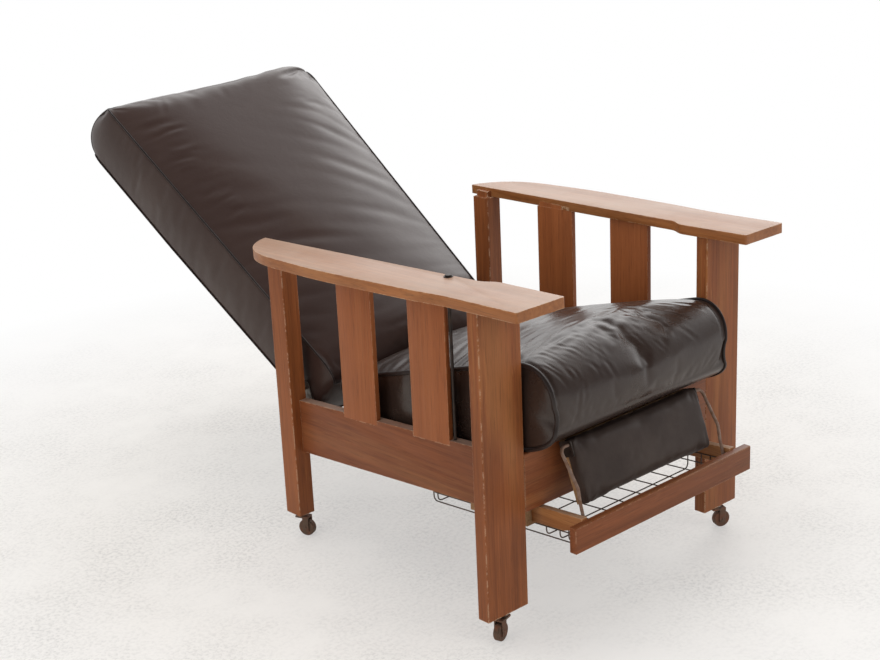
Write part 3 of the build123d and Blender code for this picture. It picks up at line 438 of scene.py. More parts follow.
@dataclass(frozen=True)
class Leather:
    """Dark upholstery leather with a soft shine and rubbed patches."""

    name: str
    base: Colour = (0.037, 0.0195, 0.0155)
    rubbed: Colour = (0.045, 0.0260, 0.0210)
    rough: float = 0.32
    shine: float = 0.40
    scale: float = 1.0
    relief: float = 0.0005

    def build(self, effects: Effects) -> Material:
        """The leather's material."""
        material, hand, surface, place = shader(self.name)
        hide = hand.add("Group", {"Vector": place, "Scale": self.scale}, node_tree=effects.hide)
        worn = hide.outputs["Worn"]
        hand.join(surface, {
            "Base Color": hand.mix(worn, (*self.base, 1), (*self.rubbed, 1)),
            "Roughness": hand.ramp(worn, 0.0, 1.0, (self.rough + 0.06, self.rough - 0.03)),
            "Normal": bump(hand, hide.outputs["Height"], 0.5, self.relief),
            "Specular IOR Level": self.shine,
        })
        return material


@dataclass(frozen=True)
class Iron:
    """Old iron or steel with rust and dirt in patches."""

    name: str
    metal: Colour
    rust: Colour
    metallic: float
    rough: float
    low: float = 0.4
    high: float = 0.65
    scale: float = 60.0

    def build(self, effects: Effects) -> Material:
        """The metal's material."""
        material, hand, surface, place = shader(self.name)
        grime = hand.add(
            "Group", {"Vector": place, "Scale": self.scale, "Low": self.low, "High": self.high},
            node_tree=effects.grime,
        )
        mask = grime.outputs["Mask"]
        wear = hand.add("Group", {"Vector": place, "Radius": 0.0015, "Amount": 0.6}, node_tree=effects.wear)
        colour = hand.mix(mask, (*self.metal, 1), (*self.rust, 1))
        lighter = tuple(min(1.0, c * 1.8 + 0.05) for c in self.metal)
        hand.join(surface, {
            "Base Color": hand.mix(wear.outputs["Mask"], colour, (*lighter, 1)),
            "Metallic": hand.ramp(mask, 0.0, 1.0, (self.metallic, 0.05)),
            "Roughness": hand.ramp(mask, 0.0, 1.0, (self.rough, min(0.95, self.rough + 0.35))),
            "Normal": bump(hand, grime.outputs["Height"], 0.3, 0.0003),
        })
        return material


@dataclass(frozen=True)
class Cloth:
    """Plain woven cloth or webbing: over-and-under threads with some fading."""

    name: str
    light: Colour
    dark: Colour
    pitch: float = 0.0016

    def build(self, effects: Effects) -> Material:
        """The cloth's material."""
        material, hand, surface, place = shader(self.name)
        threads = []
        for direction in ("X", "DIAGONAL"):
            wave = hand.add(
                "TexWave", {"Vector": place, "Scale": 1 / self.pitch / 20, "Distortion": 0.6, "Detail": 2.0},
                bands_direction=direction,
            )
            threads.append(wave.outputs[1])
        weave = hand.times(*threads)
        grime = hand.add("Group", {"Vector": place, "Scale": 9.0}, node_tree=effects.grime)
        share = hand.maths("ADD", hand.times(weave, 0.6), hand.times(grime.outputs["Mask"], 0.3))
        hand.join(surface, {
            "Base Color": hand.mix(share, (*self.dark, 1), (*self.light, 1)),
            "Roughness": 0.9,
            "Normal": bump(hand, weave, 0.5, 0.0005),
            "Specular IOR Level": 0.2,
        })
        return material


# Pieces made from the frame's solids


def dress(obj: Object, material: Material, body: str) -> None:
    """Paint a new piece and let it ride on its body."""
    paint(obj, material)
    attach(obj, body)


def board(node: str, material: Material, body: str, edge: float) -> None:
    """Show a solid's copy with eased arrises in the solid's place.

    Args:
        node: the solid's node.
        material: the board's finish.
        body: the body that it rides on.
        edge: how far the arrises are rounded.
    """
    obj = new_object(node + "_board", bpy.data.objects[node].data.copy())
    activate(obj)
    bpy.ops.object.mode_set(mode="EDIT")
    bpy.ops.mesh.select_all(action="SELECT")
    bpy.ops.mesh.remove_doubles(threshold=1e-6)
    bpy.ops.mesh.dissolve_limited(angle_limit=math.radians(0.6))
    bpy.ops.object.mode_set(mode="OBJECT")
    add_modifier(
        obj, "BEVEL", width=edge, segments=3, limit_method="ANGLE", angle_limit=math.radians(28)
    )
    smooth(obj, 30)
    dress(obj, material, body)
    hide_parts(node)


# Stuffed pads

# Lengths in mm and shares that shape every pad
GROOVE_INSET = 8.5
GROOVE_WIDTH = 4.0
PUFF_REACH = 90.0
PUFF_LOWNESS = 0.66
SHOULDER = 1.6
HEAD_FALL = 0.28
HEAD_MIDDLE = 1.1
SAG_FROM = 9
CROWDING = 0.55

# How many points the welts have along a side, over an end and down a corner
SEAM_STEPS = 90
END_STEPS = 40
DEPTH_STEPS = 24
NOSE_STEPS = 6


@dataclass(frozen=True)
class End:
    """A rounded end of a pad: its reach, the rise below, the drop above and the sides' inset, in mm."""

    reach: float
    rise: float
    drop: float
    inset: float

    def cut(self, distance: float, depth: float) -> float:
        """How far the end cuts in at a distance from it."""
        near = max(0.0, 1 - distance / self.reach)
        return depth * (1 - math.sqrt(max(0.0, 1 - near * near)))


@dataclass(frozen=True)
class Creases:
    """A patch of creases in leather, scattered round a place on a pad; sizes in mm, angles in degrees.

    The place counts across from the middle and along the surface. Each crease is a soft valley
    between two low ridges that fades out at its ends.
    """

    across: float
    along: float
    wide: float
    long: float
    count: int
    length: float
    width: float
    depth: float
    angle: float
    spread: float
    seed: int


@dataclass
class Pad:
    """A stuffed pad as a box of points that a cross-section carries along its length, in mm.

    Past its plain form, the far end may puff out by puff, roll its crown down over head, lean its crown
    to the right, keep it flat across, bow and skew outwards, and let its lower corners sag. A groove
    runs inside the upper side seams.
    """

    name: str
    start: Vector
    along: Vector
    up: Vector
    length: float
    half_widths: tuple[float, float]
    lows: tuple[float, float]
    highs: tuple[float, float]
    ends: tuple[End, End]
    crown: float
    draw: float
    cells: tuple[int, int, int]
    puff: float = 0.0
    head: float = 0.0
    lean: float = 0.0
    flat: float = 2.0
    bow: float = 0.0
    skew: float = 0.0
    sag: float = 0.0
    groove: float = 0.0
    across: Vector = field(default_factory=lambda: Vector((1, 0, 0)))

    def section(self, share: float) -> tuple[float, float, float, float, float]:
        """The distance, half width, low, high and crown at a share of the length."""
        place = share * self.length
        half = self.half_widths[0] + (self.half_widths[1] - self.half_widths[0]) * share
        low = self.lows[0] + (self.lows[1] - self.lows[0]) * share
        high = self.highs[0] + (self.highs[1] - self.highs[0]) * share
        for distance, end in zip((place, self.length - place), self.ends):
            half -= end.cut(distance, end.inset)
            low += end.cut(distance, end.rise)
            high -= end.cut(distance, end.drop)
        swell = math.sqrt(max(0.0, 4 * share * (1 - share)))
        if self.head:
            rolled = math.sqrt(1 - max(0.0, 1 - (self.length - place) / self.head) ** 2)
            fullest = 1 - HEAD_FALL * (2 * share - HEAD_MIDDLE) ** 2
            swell = min(1.0, SHOULDER * swell + share * share) * rolled * fullest
        return place, half, low, high, self.crown * swell

    def point(self, u: float, v: float, w: float, out: float = 0.0) -> Vector:
        """The place in metres of a point of the pad.

        Args:
            u: the share across, from 0 to 1.
            v: the step along, from 0 to 1, close together near the ends.
            w: the share of the height.
            out: how far past the sides and the top the point stands, in mm.
        """
        share = (1 - math.cos(math.pi * v)) / 2
        place, half, low, high, swell = self.section(share)
        side = (2 * u - 1) * (1 - CROWDING) - math.cos(math.pi * u) * CROWDING
        x = side * (half - self.draw * 4 * w * (1 - w) + out)
        bend = share * share
        swell *= (1 - abs(side) ** (2 + (self.flat - 2) * bend)) * (1 + self.lean * side * bend)
        low -= self.sag * max(0.0, abs(side) * (SAG_FROM + 1) - SAG_FROM) * min(1.0, share * SHOULDER)
        n = low + w * (high - low + swell) + (out if w > 0.5 else 0.0)
        if w == 1.0 and not out:
            beside = (half * (1 - abs(side)) - GROOVE_INSET) / GROOVE_WIDTH
            n -= self.groove * math.exp(-beside * beside)
        near_end = max(0.0, 1 - (self.length - place) / PUFF_REACH)
        t = w ** PUFF_LOWNESS
        place += self.puff * 4 * t * (1 - t) * near_end * near_end
        place += bend * (self.skew * side + self.bow * (1 - side * side))
        return self.start + (self.across * x + self.along * place + self.up * n) * MM

    def shell(self) -> tuple[Object, np.ndarray, np.ndarray]:
        """The pad's closed surface, and for each point whether it is on a seam and on the lower face."""
        columns, rows, layers = self.cells
        index: dict[tuple[int, int, int], int] = {}
        points, seam, below, faces = [], [], [], []

        def corner(key: tuple[int, int, int]) -> int:
            """The number of the point at a corner of the cells."""
            i, j, k = key
            if key not in index:
                index[key] = len(points)
                points.append(self.point(i / columns, j / rows, k / layers))
                seam.append(i in (0, columns) and k in (0, layers))
                below.append(k == 0)
            return index[key]

        def face(*corners: tuple[int, int, int]) -> None:
            """Add a face on four corners of the cells."""
            faces.append(tuple(corner(key) for key in corners))

        for j in range(rows):
            for i in range(columns):
                face((i, j, 0), (i, j + 1, 0), (i + 1, j + 1, 0), (i + 1, j, 0))
                face((i, j, layers), (i + 1, j, layers), (i + 1, j + 1, layers), (i, j + 1, layers))
            for k in range(layers):
                face((0, j, k), (0, j, k + 1), (0, j + 1, k + 1), (0, j + 1, k))
                face((columns, j, k), (columns, j + 1, k), (columns, j + 1, k + 1), (columns, j, k + 1))
        for k in range(layers):
            for i in range(columns):
                face((i, 0, k), (i + 1, 0, k), (i + 1, 0, k + 1), (i, 0, k + 1))
                face((i, rows, k), (i, rows, k + 1), (i + 1, rows, k + 1), (i + 1, rows, k))
        mesh = bpy.data.meshes.new(self.name)
        mesh.from_pydata(points, [], faces)
        mesh.update()
        obj = new_object(self.name, mesh)
        activate(obj)
        bpy.ops.object.mode_set(mode="EDIT")
        bpy.ops.mesh.select_all(action="SELECT")
        bpy.ops.mesh.normals_make_consistent(inside=False)
        bpy.ops.object.mode_set(mode="OBJECT")
        return obj, np.array(seam), np.array(below)

    def seam_path(self, u: float, w: float, out: float = 0.0) -> list[Vector]:
        """The points along a long seam: u is 0 for left and 1 for right, w is 0 for low and 1 for high."""
        return [self.point(u, step / SEAM_STEPS, w, out) for step in range(SEAM_STEPS + 1)]

    def local(self, obj: Object) -> list[np.ndarray]:
        """How far each point of obj lies across, along and up from the pad's start, in mm."""
        points = (coordinates(obj.data) - np.array(self.start)) / MM
        return [points @ np.array(axis) for axis in (self.across, self.along, self.up)]


def coordinates(mesh: Mesh, kind: str = "co") -> np.ndarray:
    """The points of a mesh, or their normals, as an array."""
    flat = np.empty(len(mesh.vertices) * 3)
    mesh.vertices.foreach_get(kind, flat)
    return flat.reshape(-1, 3)


def set_coordinates(mesh: Mesh, points: np.ndarray) -> None:
    """Put an array of points into a mesh."""
    mesh.vertices.foreach_set("co", points.ravel())
    mesh.update()


# The cloth simulation's leather, and the frame at which it has settled
LEATHER = {
    "quality": 5, "mass": 0.35, "use_pressure": True, "uniform_pressure_force": 4.0,
    "tension_stiffness": 22, "compression_stiffness": 22, "shear_stiffness": 8, "bending_stiffness": 0.8,
}
LAST_FRAME = 20


def stuff(obj: Object, held: np.ndarray, growth: float, cap: float) -> None:
    """Let a pad's leather swell and wrinkle as its filling presses on it.

    Args:
        obj: the pad.
        held: which of its points are sewn or rest on something.
        growth: the share by which the leather is larger than its frame.
        cap: the move that a point comes near to but doesn't pass, in metres.
    """
    before = coordinates(obj.data)
    pins = obj.vertex_groups.new(name="sewn")
    pins.add([int(i) for i in np.flatnonzero(held)], 1.0, "REPLACE")
    cloth = obj.modifiers.new("Cloth", "CLOTH")
    for key, value in LEATHER.items():
        setattr(cloth.settings, key, value)
    cloth.settings.effector_weights.gravity = 0
    cloth.settings.vertex_group_mass = pins.name
    cloth.settings.shrink_min = -growth
    cloth.collision_settings.use_collision = False
    scene = bpy.context.scene
    for frame in range(1, LAST_FRAME + 1):
        scene.frame_set(frame)
    seen = obj.evaluated_get(bpy.context.evaluated_depsgraph_get())
    after = coordinates(seen.data)
    obj.modifiers.remove(cloth)
    scene.frame_set(1)
    move = after - before
    far = np.linalg.norm(move, axis=1, keepdims=True)
    move *= cap * np.tanh(far / cap) / np.maximum(far, 1e-9)
    set_coordinates(obj.data, before + move)
    log.info("%s swelled by up to %.1f mm", obj.name, float(far.max()) * 1000)


# A crease's ridges: their share of its depth and their place in its widths, and a place past every crease
RIDGE_SHARE = 0.75
RIDGE_PLACE = 1.25
FAR_AWAY = 1e4


def press_creases(
    obj: Object, across: np.ndarray, along: np.ndarray, patches: tuple[Creases, ...]
) -> None:
    """Press patches of creases into a pad, whose points lie so far across and along it, in mm."""
    points, out = coordinates(obj.data), coordinates(obj.data, "normal")
    push = np.zeros(len(points))
    for patch in patches:
        chance = random.Random(patch.seed)
        for _ in range(patch.count):
            dx = across - patch.across - chance.uniform(-1, 1) * patch.wide
            dy = along - patch.along - chance.uniform(-1, 1) * patch.long
            turn = math.radians(patch.angle + chance.uniform(-1, 1) * patch.spread)
            length = patch.length * chance.uniform(0.55, 1.25)
            width = patch.width * chance.uniform(0.7, 1.35)
            depth = patch.depth * chance.uniform(0.5, 1.2)
            s = (dx * math.cos(turn) + dy * math.sin(turn)) / length
            t = dy * math.cos(turn) - dx * math.sin(turn)
            t = (t + chance.uniform(-0.22, 0.22) * length * s * s) / width
            ridges = np.exp(-((t - RIDGE_PLACE) ** 2)) + np.exp(-((t + RIDGE_PLACE) ** 2))
            push += depth * (RIDGE_SHARE * ridges - np.exp(-t * t)) * np.clip(1 - s * s, 0, 1) ** 1.5
    set_coordinates(obj.data, points + out * (push * MM)[:, None])


def upholster(pad: Pad, growth: float, cap: float) -> Object:
    """A pad's leather, swelled by its filling and made finer."""
    obj, seam, below = pad.shell()
    stuff(obj, seam | below, growth, cap)
    add_modifier(obj, "SUBSURF", levels=1, render_levels=1)
    return obj


# Sub-assemblies


@dataclass
class Finishes:
    """The chair's materials, built once each."""

    effects: Effects
    made: dict[str, Material] = field(default_factory=dict)

    def of(self, finish: Oak | Leather | Iron | Cloth) -> Material:
        """The material of a finish, built when first asked for."""
        if finish.name not in self.made:
            self.made[finish.name] = finish.build(self.effects)
        return self.made[finish.name]

    def dress_solids(self, finish: Oak | Leather | Iron | Cloth, *nodes: str) -> None:
        """Paint the frame's own solids."""
        for node in nodes:
            paint(bpy.data.objects[node], self.of(finish))


# The arms' pale top colour is mostly a painted sheen of light on their tops, with some rubbing
ARM_OAK = Oak(
    "oak_arm", Grain.ALONG, light=(0.40, 0.15, 0.045), dark=(0.24, 0.082, 0.024),
    top=(0.46, 0.35, 0.27), dust_and_sheen_share=0.85, wear=0.85, rough=0.34, shine=0.42, flecks=0.3,
)
LEG_OAK = Oak(
    "oak_leg", Grain.UPRIGHT, light=(0.33, 0.103, 0.031), dark=(0.18, 0.052, 0.016),
    fleck=(0.50, 0.22, 0.07), worn=(0.78, 0.58, 0.40), wear=1.0, flecks=0.34,
)
SLAT_OAK = Oak(
    "oak_slat", Grain.UPRIGHT, light=(0.36, 0.112, 0.034), dark=(0.26, 0.076, 0.023),
    wear=0.4, flecks=0.1,
)
RAIL_OAK = Oak(
    "oak_rail", Grain.ALONG, light=(0.27, 0.086, 0.031), dark=(0.165, 0.048, 0.018),
    top=(0.42, 0.36, 0.30), dust_and_sheen_share=0.8, wear=0.7, flecks=0.2,
)
CROSS_OAK = Oak(
    "oak_cross", Grain.ACROSS, light=(0.25, 0.076, 0.026), dark=(0.15, 0.044, 0.015), wear=0.8, flecks=0.2,
)
DRAWER_OAK = Oak(
    "oak_drawer_side", Grain.ALONG, light=(0.42, 0.18, 0.062), dark=(0.24, 0.085, 0.028),
    top=(0.46, 0.37, 0.28), dust_and_sheen_share=0.8, wear=0.8,
)
BARE_ACROSS = Oak(
    "bare_across", Grain.ACROSS, light=(0.42, 0.26, 0.14), dark=(0.24, 0.13, 0.06), wear=0.2, rough=0.7,
)
BARE_ALONG = Oak(
    "bare_along", Grain.ALONG, light=(0.40, 0.25, 0.13), dark=(0.22, 0.12, 0.06), wear=0.2, rough=0.7,
)
BARE_TILTED = Oak(
    "bare_tilted", Grain.TILTED, light=(0.40, 0.25, 0.14), dark=(0.22, 0.12, 0.06), wear=0.2, rough=0.7,
)
HIDE = Leather("leather_dark")
SEAT_HIDE = Leather(
    "leather_seat", base=(0.027, 0.0155, 0.0120), rubbed=(0.038, 0.0240, 0.0185), rough=0.25, shine=0.55,
)
PAD_HIDE = Leather(
    "leather_footrest", base=(0.034, 0.022, 0.018), rubbed=(0.058, 0.041, 0.034), rough=0.46, shine=0.33,
)
WELT = Leather(
    "leather_welt", base=(0.016, 0.0105, 0.0095), rubbed=(0.026, 0.018, 0.016), rough=0.36, scale=1.6,
)
BACKING = Cloth("backing_cloth", light=(0.05, 0.04, 0.036), dark=(0.018, 0.014, 0.013))
JUTE = Cloth("jute_webbing", light=(0.46, 0.36, 0.22), dark=(0.24, 0.17, 0.09), pitch=0.003)
WIRE = Iron("wire_brown", (0.11, 0.085, 0.07), (0.10, 0.05, 0.03), metallic=0.7, rough=0.45)
STAY_WIRE = Iron(
    "stay_wire", (0.27, 0.185, 0.145), (0.17, 0.09, 0.055), metallic=0.45, rough=0.5, scale=90,
)
CASTER_IRON = Iron("caster_iron", (0.14, 0.095, 0.07), (0.16, 0.065, 0.035), metallic=0.7, rough=0.45)
# Near-black iron: the dark metal of the push button and its cup, and painted shade on the push rod in its gap
# and on the footrest's plates
DARK_IRON_AND_SHADE = Iron("dark_iron_and_shade", (0.035, 0.03, 0.028), (0.05, 0.032, 0.024), metallic=0.6, rough=0.4)
STEEL = Iron(
    "dull_steel", (0.32, 0.30, 0.28), (0.14, 0.08, 0.05), metallic=0.9, rough=0.42, low=0.5, high=0.75,
)


@dataclass
class Woodwork:
    """The oak boards of frame and drawer, with eased arrises."""

    finishes: Finishes
    edge: float = 0.0018
    boards: tuple[tuple[str, Oak, str], ...] = (
        ("arm_left", ARM_OAK, "frame"), ("arm_right", ARM_OAK, "frame"),
        ("front_leg_left", LEG_OAK, "frame"), ("front_leg_right", LEG_OAK, "frame"),
        ("rear_leg_left", LEG_OAK, "frame"), ("rear_leg_right", LEG_OAK, "frame"),
        ("side_slats", SLAT_OAK, "frame"),
        ("side_rail_left", RAIL_OAK, "frame"), ("side_rail_right", RAIL_OAK, "frame"),
        ("front_rail", CROSS_OAK, "frame"), ("rear_rail", CROSS_OAK, "frame"),
        ("drawer_front", CROSS_OAK, "drawer"), ("drawer_tie", CROSS_OAK, "drawer"),
        ("drawer_side_left", DRAWER_OAK, "drawer"), ("drawer_side_right", DRAWER_OAK, "drawer"),
    )
    hidden: tuple[tuple[Oak, tuple[str, ...]], ...] = (
        (BARE_ACROSS, (
            "seat_slats", "footrest_board", "back_bottom_rail", "back_middle_rail", "back_top_rail",
        )),
        (BARE_ALONG, ("seat_bearers", "drawer_guides")),
        (BARE_TILTED, ("back_stiles",)),
    )

    def build(self) -> None:
        """Make the shown boards and dress the hidden ones."""
        for node, finish, body in self.boards:
            board(node, self.finishes.of(finish), body, self.edge)
        for finish, nodes in self.hidden:
            self.finishes.dress_solids(finish, *nodes)
        log.info("woodwork: %d boards", len(self.boards))


@dataclass
class SeatCushion:
    """The wedge-shaped seat cushion with its rolled nose, side bands and heavy welts."""

    finishes: Finishes
    growth: float = 0.006
    cap: float = 0.014
    welt_radius: float = 0.0046
    far_welt_radius: float = 0.00322
    welt_out: float = 1.2
    pad: Pad = field(default_factory=lambda: Pad(
        "seat_cushion", seat_place(0, 38, 0), Vector((0, 1, 0)), Vector((0, 0, 1)), length=592.0,
        half_widths=(250.0, 250.0), lows=(363.9, 270.4), highs=(536.0, 368.0),
        ends=(End(84, 36, 88, 7), End(40, 12, 24, 8)), crown=31.0, draw=5.0, cells=(76, 104, 14),
        groove=3.4,
    ))
    creases: tuple[Creases, ...] = (
        Creases(-165, 190, 60, 110, 24, 84, 10, 1.5, 2, 7, 3),
        Creases(-40, 150, 110, 90, 24, 70, 9, 1.1, 6, 12, 5),
        Creases(120, 110, 90, 80, 26, 44, 6, 0.7, -34, 16, 8),
        Creases(-150, 30, 70, 50, 20, 40, 4.5, 0.5, -62, 18, 13),
        Creases(20, 40, 130, 50, 26, 40, 4.5, 0.5, -52, 18, 21),
        Creases(-190, -70, 40, 40, 8, 34, 6, 0.4, 72, 14, 34),
        Creases(0, 380, 220, 120, 22, 80, 12, 1.0, 12, 30, 55),
    )

    def along(self, points: np.ndarray) -> np.ndarray:
        """How far back over the top each point lies, or below zero how far down round the nose."""
        end = self.pad.ends[0]
        y = (points[:, 1] - self.pad.start.y) / MM
        z = points[:, 2] / MM
        centre = self.pad.highs[0] - end.drop
        angle = np.arctan2(z - centre, np.maximum(end.reach - y, 1e-6))
        rolled = end.reach - end.reach * (math.pi / 2 - np.clip(angle, 0, math.pi / 2))
        rolled -= np.maximum(centre - z, 0)
        return np.where(y < end.reach, rolled, y)

    def build(self) -> None:
        """Make the cushion and its welts."""
        obj = upholster(self.pad, self.growth, self.cap)
        points = coordinates(obj.data)
        press_creases(obj, points[:, 0] / MM, self.along(points), self.creases)
        smooth(obj, 180)
        dress(obj, self.finishes.of(SEAT_HIDE), "frame")
        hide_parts("seat_cover", "seat_filling")
        for name, u, radius in (("left", 0.0, self.welt_radius), ("right", 1.0, self.far_welt_radius)):
            high = self.pad.seam_path(u, 1.0, self.welt_out)
            low = self.pad.seam_path(u, 0.0)
            front = [self.pad.point(u, 0, 1 - step / NOSE_STEPS) for step in range(1, NOSE_STEPS)]
            rear = [self.pad.point(u, 1, step / NOSE_STEPS) for step in range(1, NOSE_STEPS)]
            loop = list(reversed(high)) + front + low + rear + [high[-1]]
            welt = wires(f"seat_welt_{name}", [loop], radius, 0.0, sides=3)
            dress(welt, self.finishes.of(WELT), "frame")
        log.info("seat cushion")


RECLINE = math.radians(34.6)
PIVOT = seat_place(0, 745, 325)
BELOW_PIVOT = 0.054
BACK_ALONG = Vector((0, math.cos(RECLINE), math.sin(RECLINE)))
BACK_UP = Vector((0, -math.sin(RECLINE), math.cos(RECLINE)))


@dataclass
class BackCushion:
    """The tall back cushion: a crowned front, plain side bands, a rounded head and fine welts."""

    finishes: Finishes
    growth: float = 0.003
    cap: float = 0.012
    welt_radius: float = 0.0022
    face_n: float = 60.0
    pad: Pad = field(default_factory=lambda: Pad(
        "back_cushion", PIVOT - BACK_ALONG * BELOW_PIVOT, BACK_ALONG, BACK_UP, length=858.0,
        half_widths=(245.0, 290.0), lows=(-39.5, -39.5), highs=(88.0, 88.0),
        ends=(End(50, 0, 30, 10), End(36, 0, 5, 7)), crown=37.0, draw=-3.0, cells=(72, 118, 12),
        puff=31.0, head=10.0, lean=0.7, flat=8.0, bow=4.0, skew=3.0, sag=13.0, groove=1.2,
    ))
    creases: tuple[Creases, ...] = (
        Creases(-215, 690, 24, 80, 9, 44, 9, 1.1, -6, 8, 4),
        Creases(-205, 520, 22, 80, 7, 34, 8, 0.9, 12, 10, 9),
        Creases(0, 60, 190, 50, 10, 80, 12, 0.9, 6, 14, 25),
        Creases(-60, 815, 170, 12, 7, 40, 10, 0.5, 70, 18, 36),
    )

    def build(self) -> None:
        """Make the cushion and its welts."""
        obj = upholster(self.pad, self.growth, self.cap)
        across, along, front = self.pad.local(obj)
        press_creases(obj, np.where(front > self.face_n, across, FAR_AWAY), along, self.creases)
        smooth(obj, 180)
        dress(obj, self.finishes.of(HIDE), "back")
        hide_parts("back_cover", "back_filling")
        loops = []
        for w in (1.0, 0.0):
            left = self.pad.seam_path(0.0, w)
            top = [self.pad.point(step / END_STEPS, 1.0, w) for step in range(1, END_STEPS)]
            right = self.pad.seam_path(1.0, w)[::-1]
            bottom = [self.pad.point(1 - step / END_STEPS, 0.0, w) for step in range(1, END_STEPS + 1)]
            loops.append(left + top + right + bottom)
        ends = [
            [self.pad.point(u, 1.0, 1 - step / DEPTH_STEPS) for step in range(DEPTH_STEPS + 1)]
            for u in (0.0, 1.0)
        ]
        for name, paths in (("front", loops[:1]), ("rear", loops[1:]), ("ends", ends)):
            welt = wires(f"back_welt_{name}", paths, self.welt_radius, 0.0)
            dress(welt, self.finishes.of(WELT), "back")
        self.finishes.dress_solids(BACKING, "back_panel")
        self.finishes.dress_solids(JUTE, "back_webbing")
        log.info("back cushion")


@dataclass
class Footrest:
    """The leather footrest pad and the bent stays that carry it."""

    finishes: Finishes
    lean: float = math.radians(20)
    growth: float = 0.02
    cap: float = 0.004
    above_hinge: float = 0.009
    behind_hinge: float = 0.024
    creases: tuple[Creases, ...] = (
        Creases(10, 78, 60, 20, 5, 18, 7, 0.6, 20, 60, 6),
        Creases(-60, 30, 60, 20, 4, 30, 9, 0.4, 10, 30, 12),
    )

    def build(self) -> None:
        """Make the pad and dress its stays and plates."""
        down = Vector((0, -math.sin(self.lean), -math.cos(self.lean)))
        front = Vector((0, -math.cos(self.lean), math.sin(self.lean)))
        top = seat_place(0, 66, 352) - down * self.above_hinge - front * self.behind_hinge
        pad = Pad(
            "footrest_pad", top, down, front, length=122.0, half_widths=(178.0, 178.0),
            lows=(12.0, 12.0), highs=(33.0, 33.0), ends=(End(14, 0, 9, 3), End(14, 0, 9, 3)),
            crown=5.0, draw=1.5, cells=(48, 20, 4), across=Vector((-1, 0, 0)),
        )
        obj = upholster(pad, self.growth, self.cap)
        press_creases(obj, *pad.local(obj)[:2], self.creases)
        smooth(obj, 180)
        dress(obj, self.finishes.of(PAD_HIDE), "footrest_pad")
        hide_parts("footrest_cushion")
        self.finishes.dress_solids(STAY_WIRE, "footrest_stays")
        # The plates are near-black as painted shade beside the pad
        self.finishes.dress_solids(DARK_IRON_AND_SHADE, "footrest_plates")
        log.info("footrest")


@dataclass
class Basket:
    """The wire basket inside the drawer's sides: bent long wires, cross wires, a rim and a middle wire."""

    finishes: Finishes
    radius: float = 0.0013
    half_width: float = 207.0
    front: float = 10.5
    rear: float = 411.0
    fall: float = 0.072
    long_wires: int = 9
    cross_places: tuple[float, ...] = (26.0, 44.0, 66.0, 100.0, 168.0, 290.0, 396.0)
    floor_front: float = 175.9
    height: float = 40.0
    middle_wire_drop: float = 20.0
    inset: float = 3.0
    cross_lift: float = 2.4
    bend: float = 0.012

    def place(self, x: float, y: float, up: float) -> Vector:
        """The place at a height above the basket's sloping floor, with y from the arms' front."""
        return seat_place(x, y, self.floor_front - self.fall * (y - self.front) + up)

    def build(self) -> None:
        """Bend the wires and put the basket in the place of its nets."""
        paths = []
        side, inner = self.half_width, self.half_width - self.inset
        front, rear = self.front, self.rear
        for index in range(self.long_wires):
            x = -inner + 2 * inner * index / (self.long_wires - 1)
            paths.append([
                self.place(x, front, self.height), self.place(x, front, 0.0),
                self.place(x, rear, 0.0), self.place(x, rear, self.height),
            ])
        for y in self.cross_places:
            paths.append([
                self.place(-side, y, self.height), self.place(-side, y, self.cross_lift),
                self.place(side, y, self.cross_lift), self.place(side, y, self.height),
            ])
        for drop in (0.0, self.middle_wire_drop):
            corners = ((-side, front), (side, front), (side, rear), (-side, rear))
            ring = [self.place(x, y, self.height - drop) for x, y in corners]
            paths.append([(ring[0] + ring[-1]) / 2, *ring, (ring[0] + ring[-1]) / 2])
        basket = wires("basket_wires", paths, self.radius, self.bend)
        dress(basket, self.finishes.of(WIRE), "drawer")
        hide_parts("basket_floor", "basket_sides", "basket_ends")
        log.info("basket: %d wires", len(paths))


@dataclass
class Ironwork:
    """Casters, pivots, the lock and the push button, dressed in their metals; the push rod's near-black is
    partly painted shade of its gap.
    """

    finishes: Finishes
    steel: tuple[str, ...] = (
        "pivot_plates", "pivot_pins", "pivot_spacers", "recline_lever", "lever_pin", "lock_rod", "rod_guide",
        "lock_housing", "grip_pin", "grip_plate", "grip_spring", "button_spring", "caster_sockets",
    )
    # Near-black: the button and its cup as dark metal; the push rod partly dark metal, partly painted shade of
    # its gap
    dark: tuple[str, ...] = ("push_button", "button_cup", "push_rod")
    caster_edge: float = 0.0007
    casters: tuple[str, ...] = ("front_left", "front_right", "rear_left", "rear_right")

    def build(self) -> None:
        """Dress the solids, and ease the casters' edges."""
        self.finishes.dress_solids(STEEL, *self.steel)
        self.finishes.dress_solids(DARK_IRON_AND_SHADE, *self.dark)
        for caster in self.casters:
            for part in ("fork", "wheel"):
                node = f"caster_{part}_{caster}"
                board(node, self.finishes.of(CASTER_IRON), node, self.caster_edge)
        log.info("ironwork")


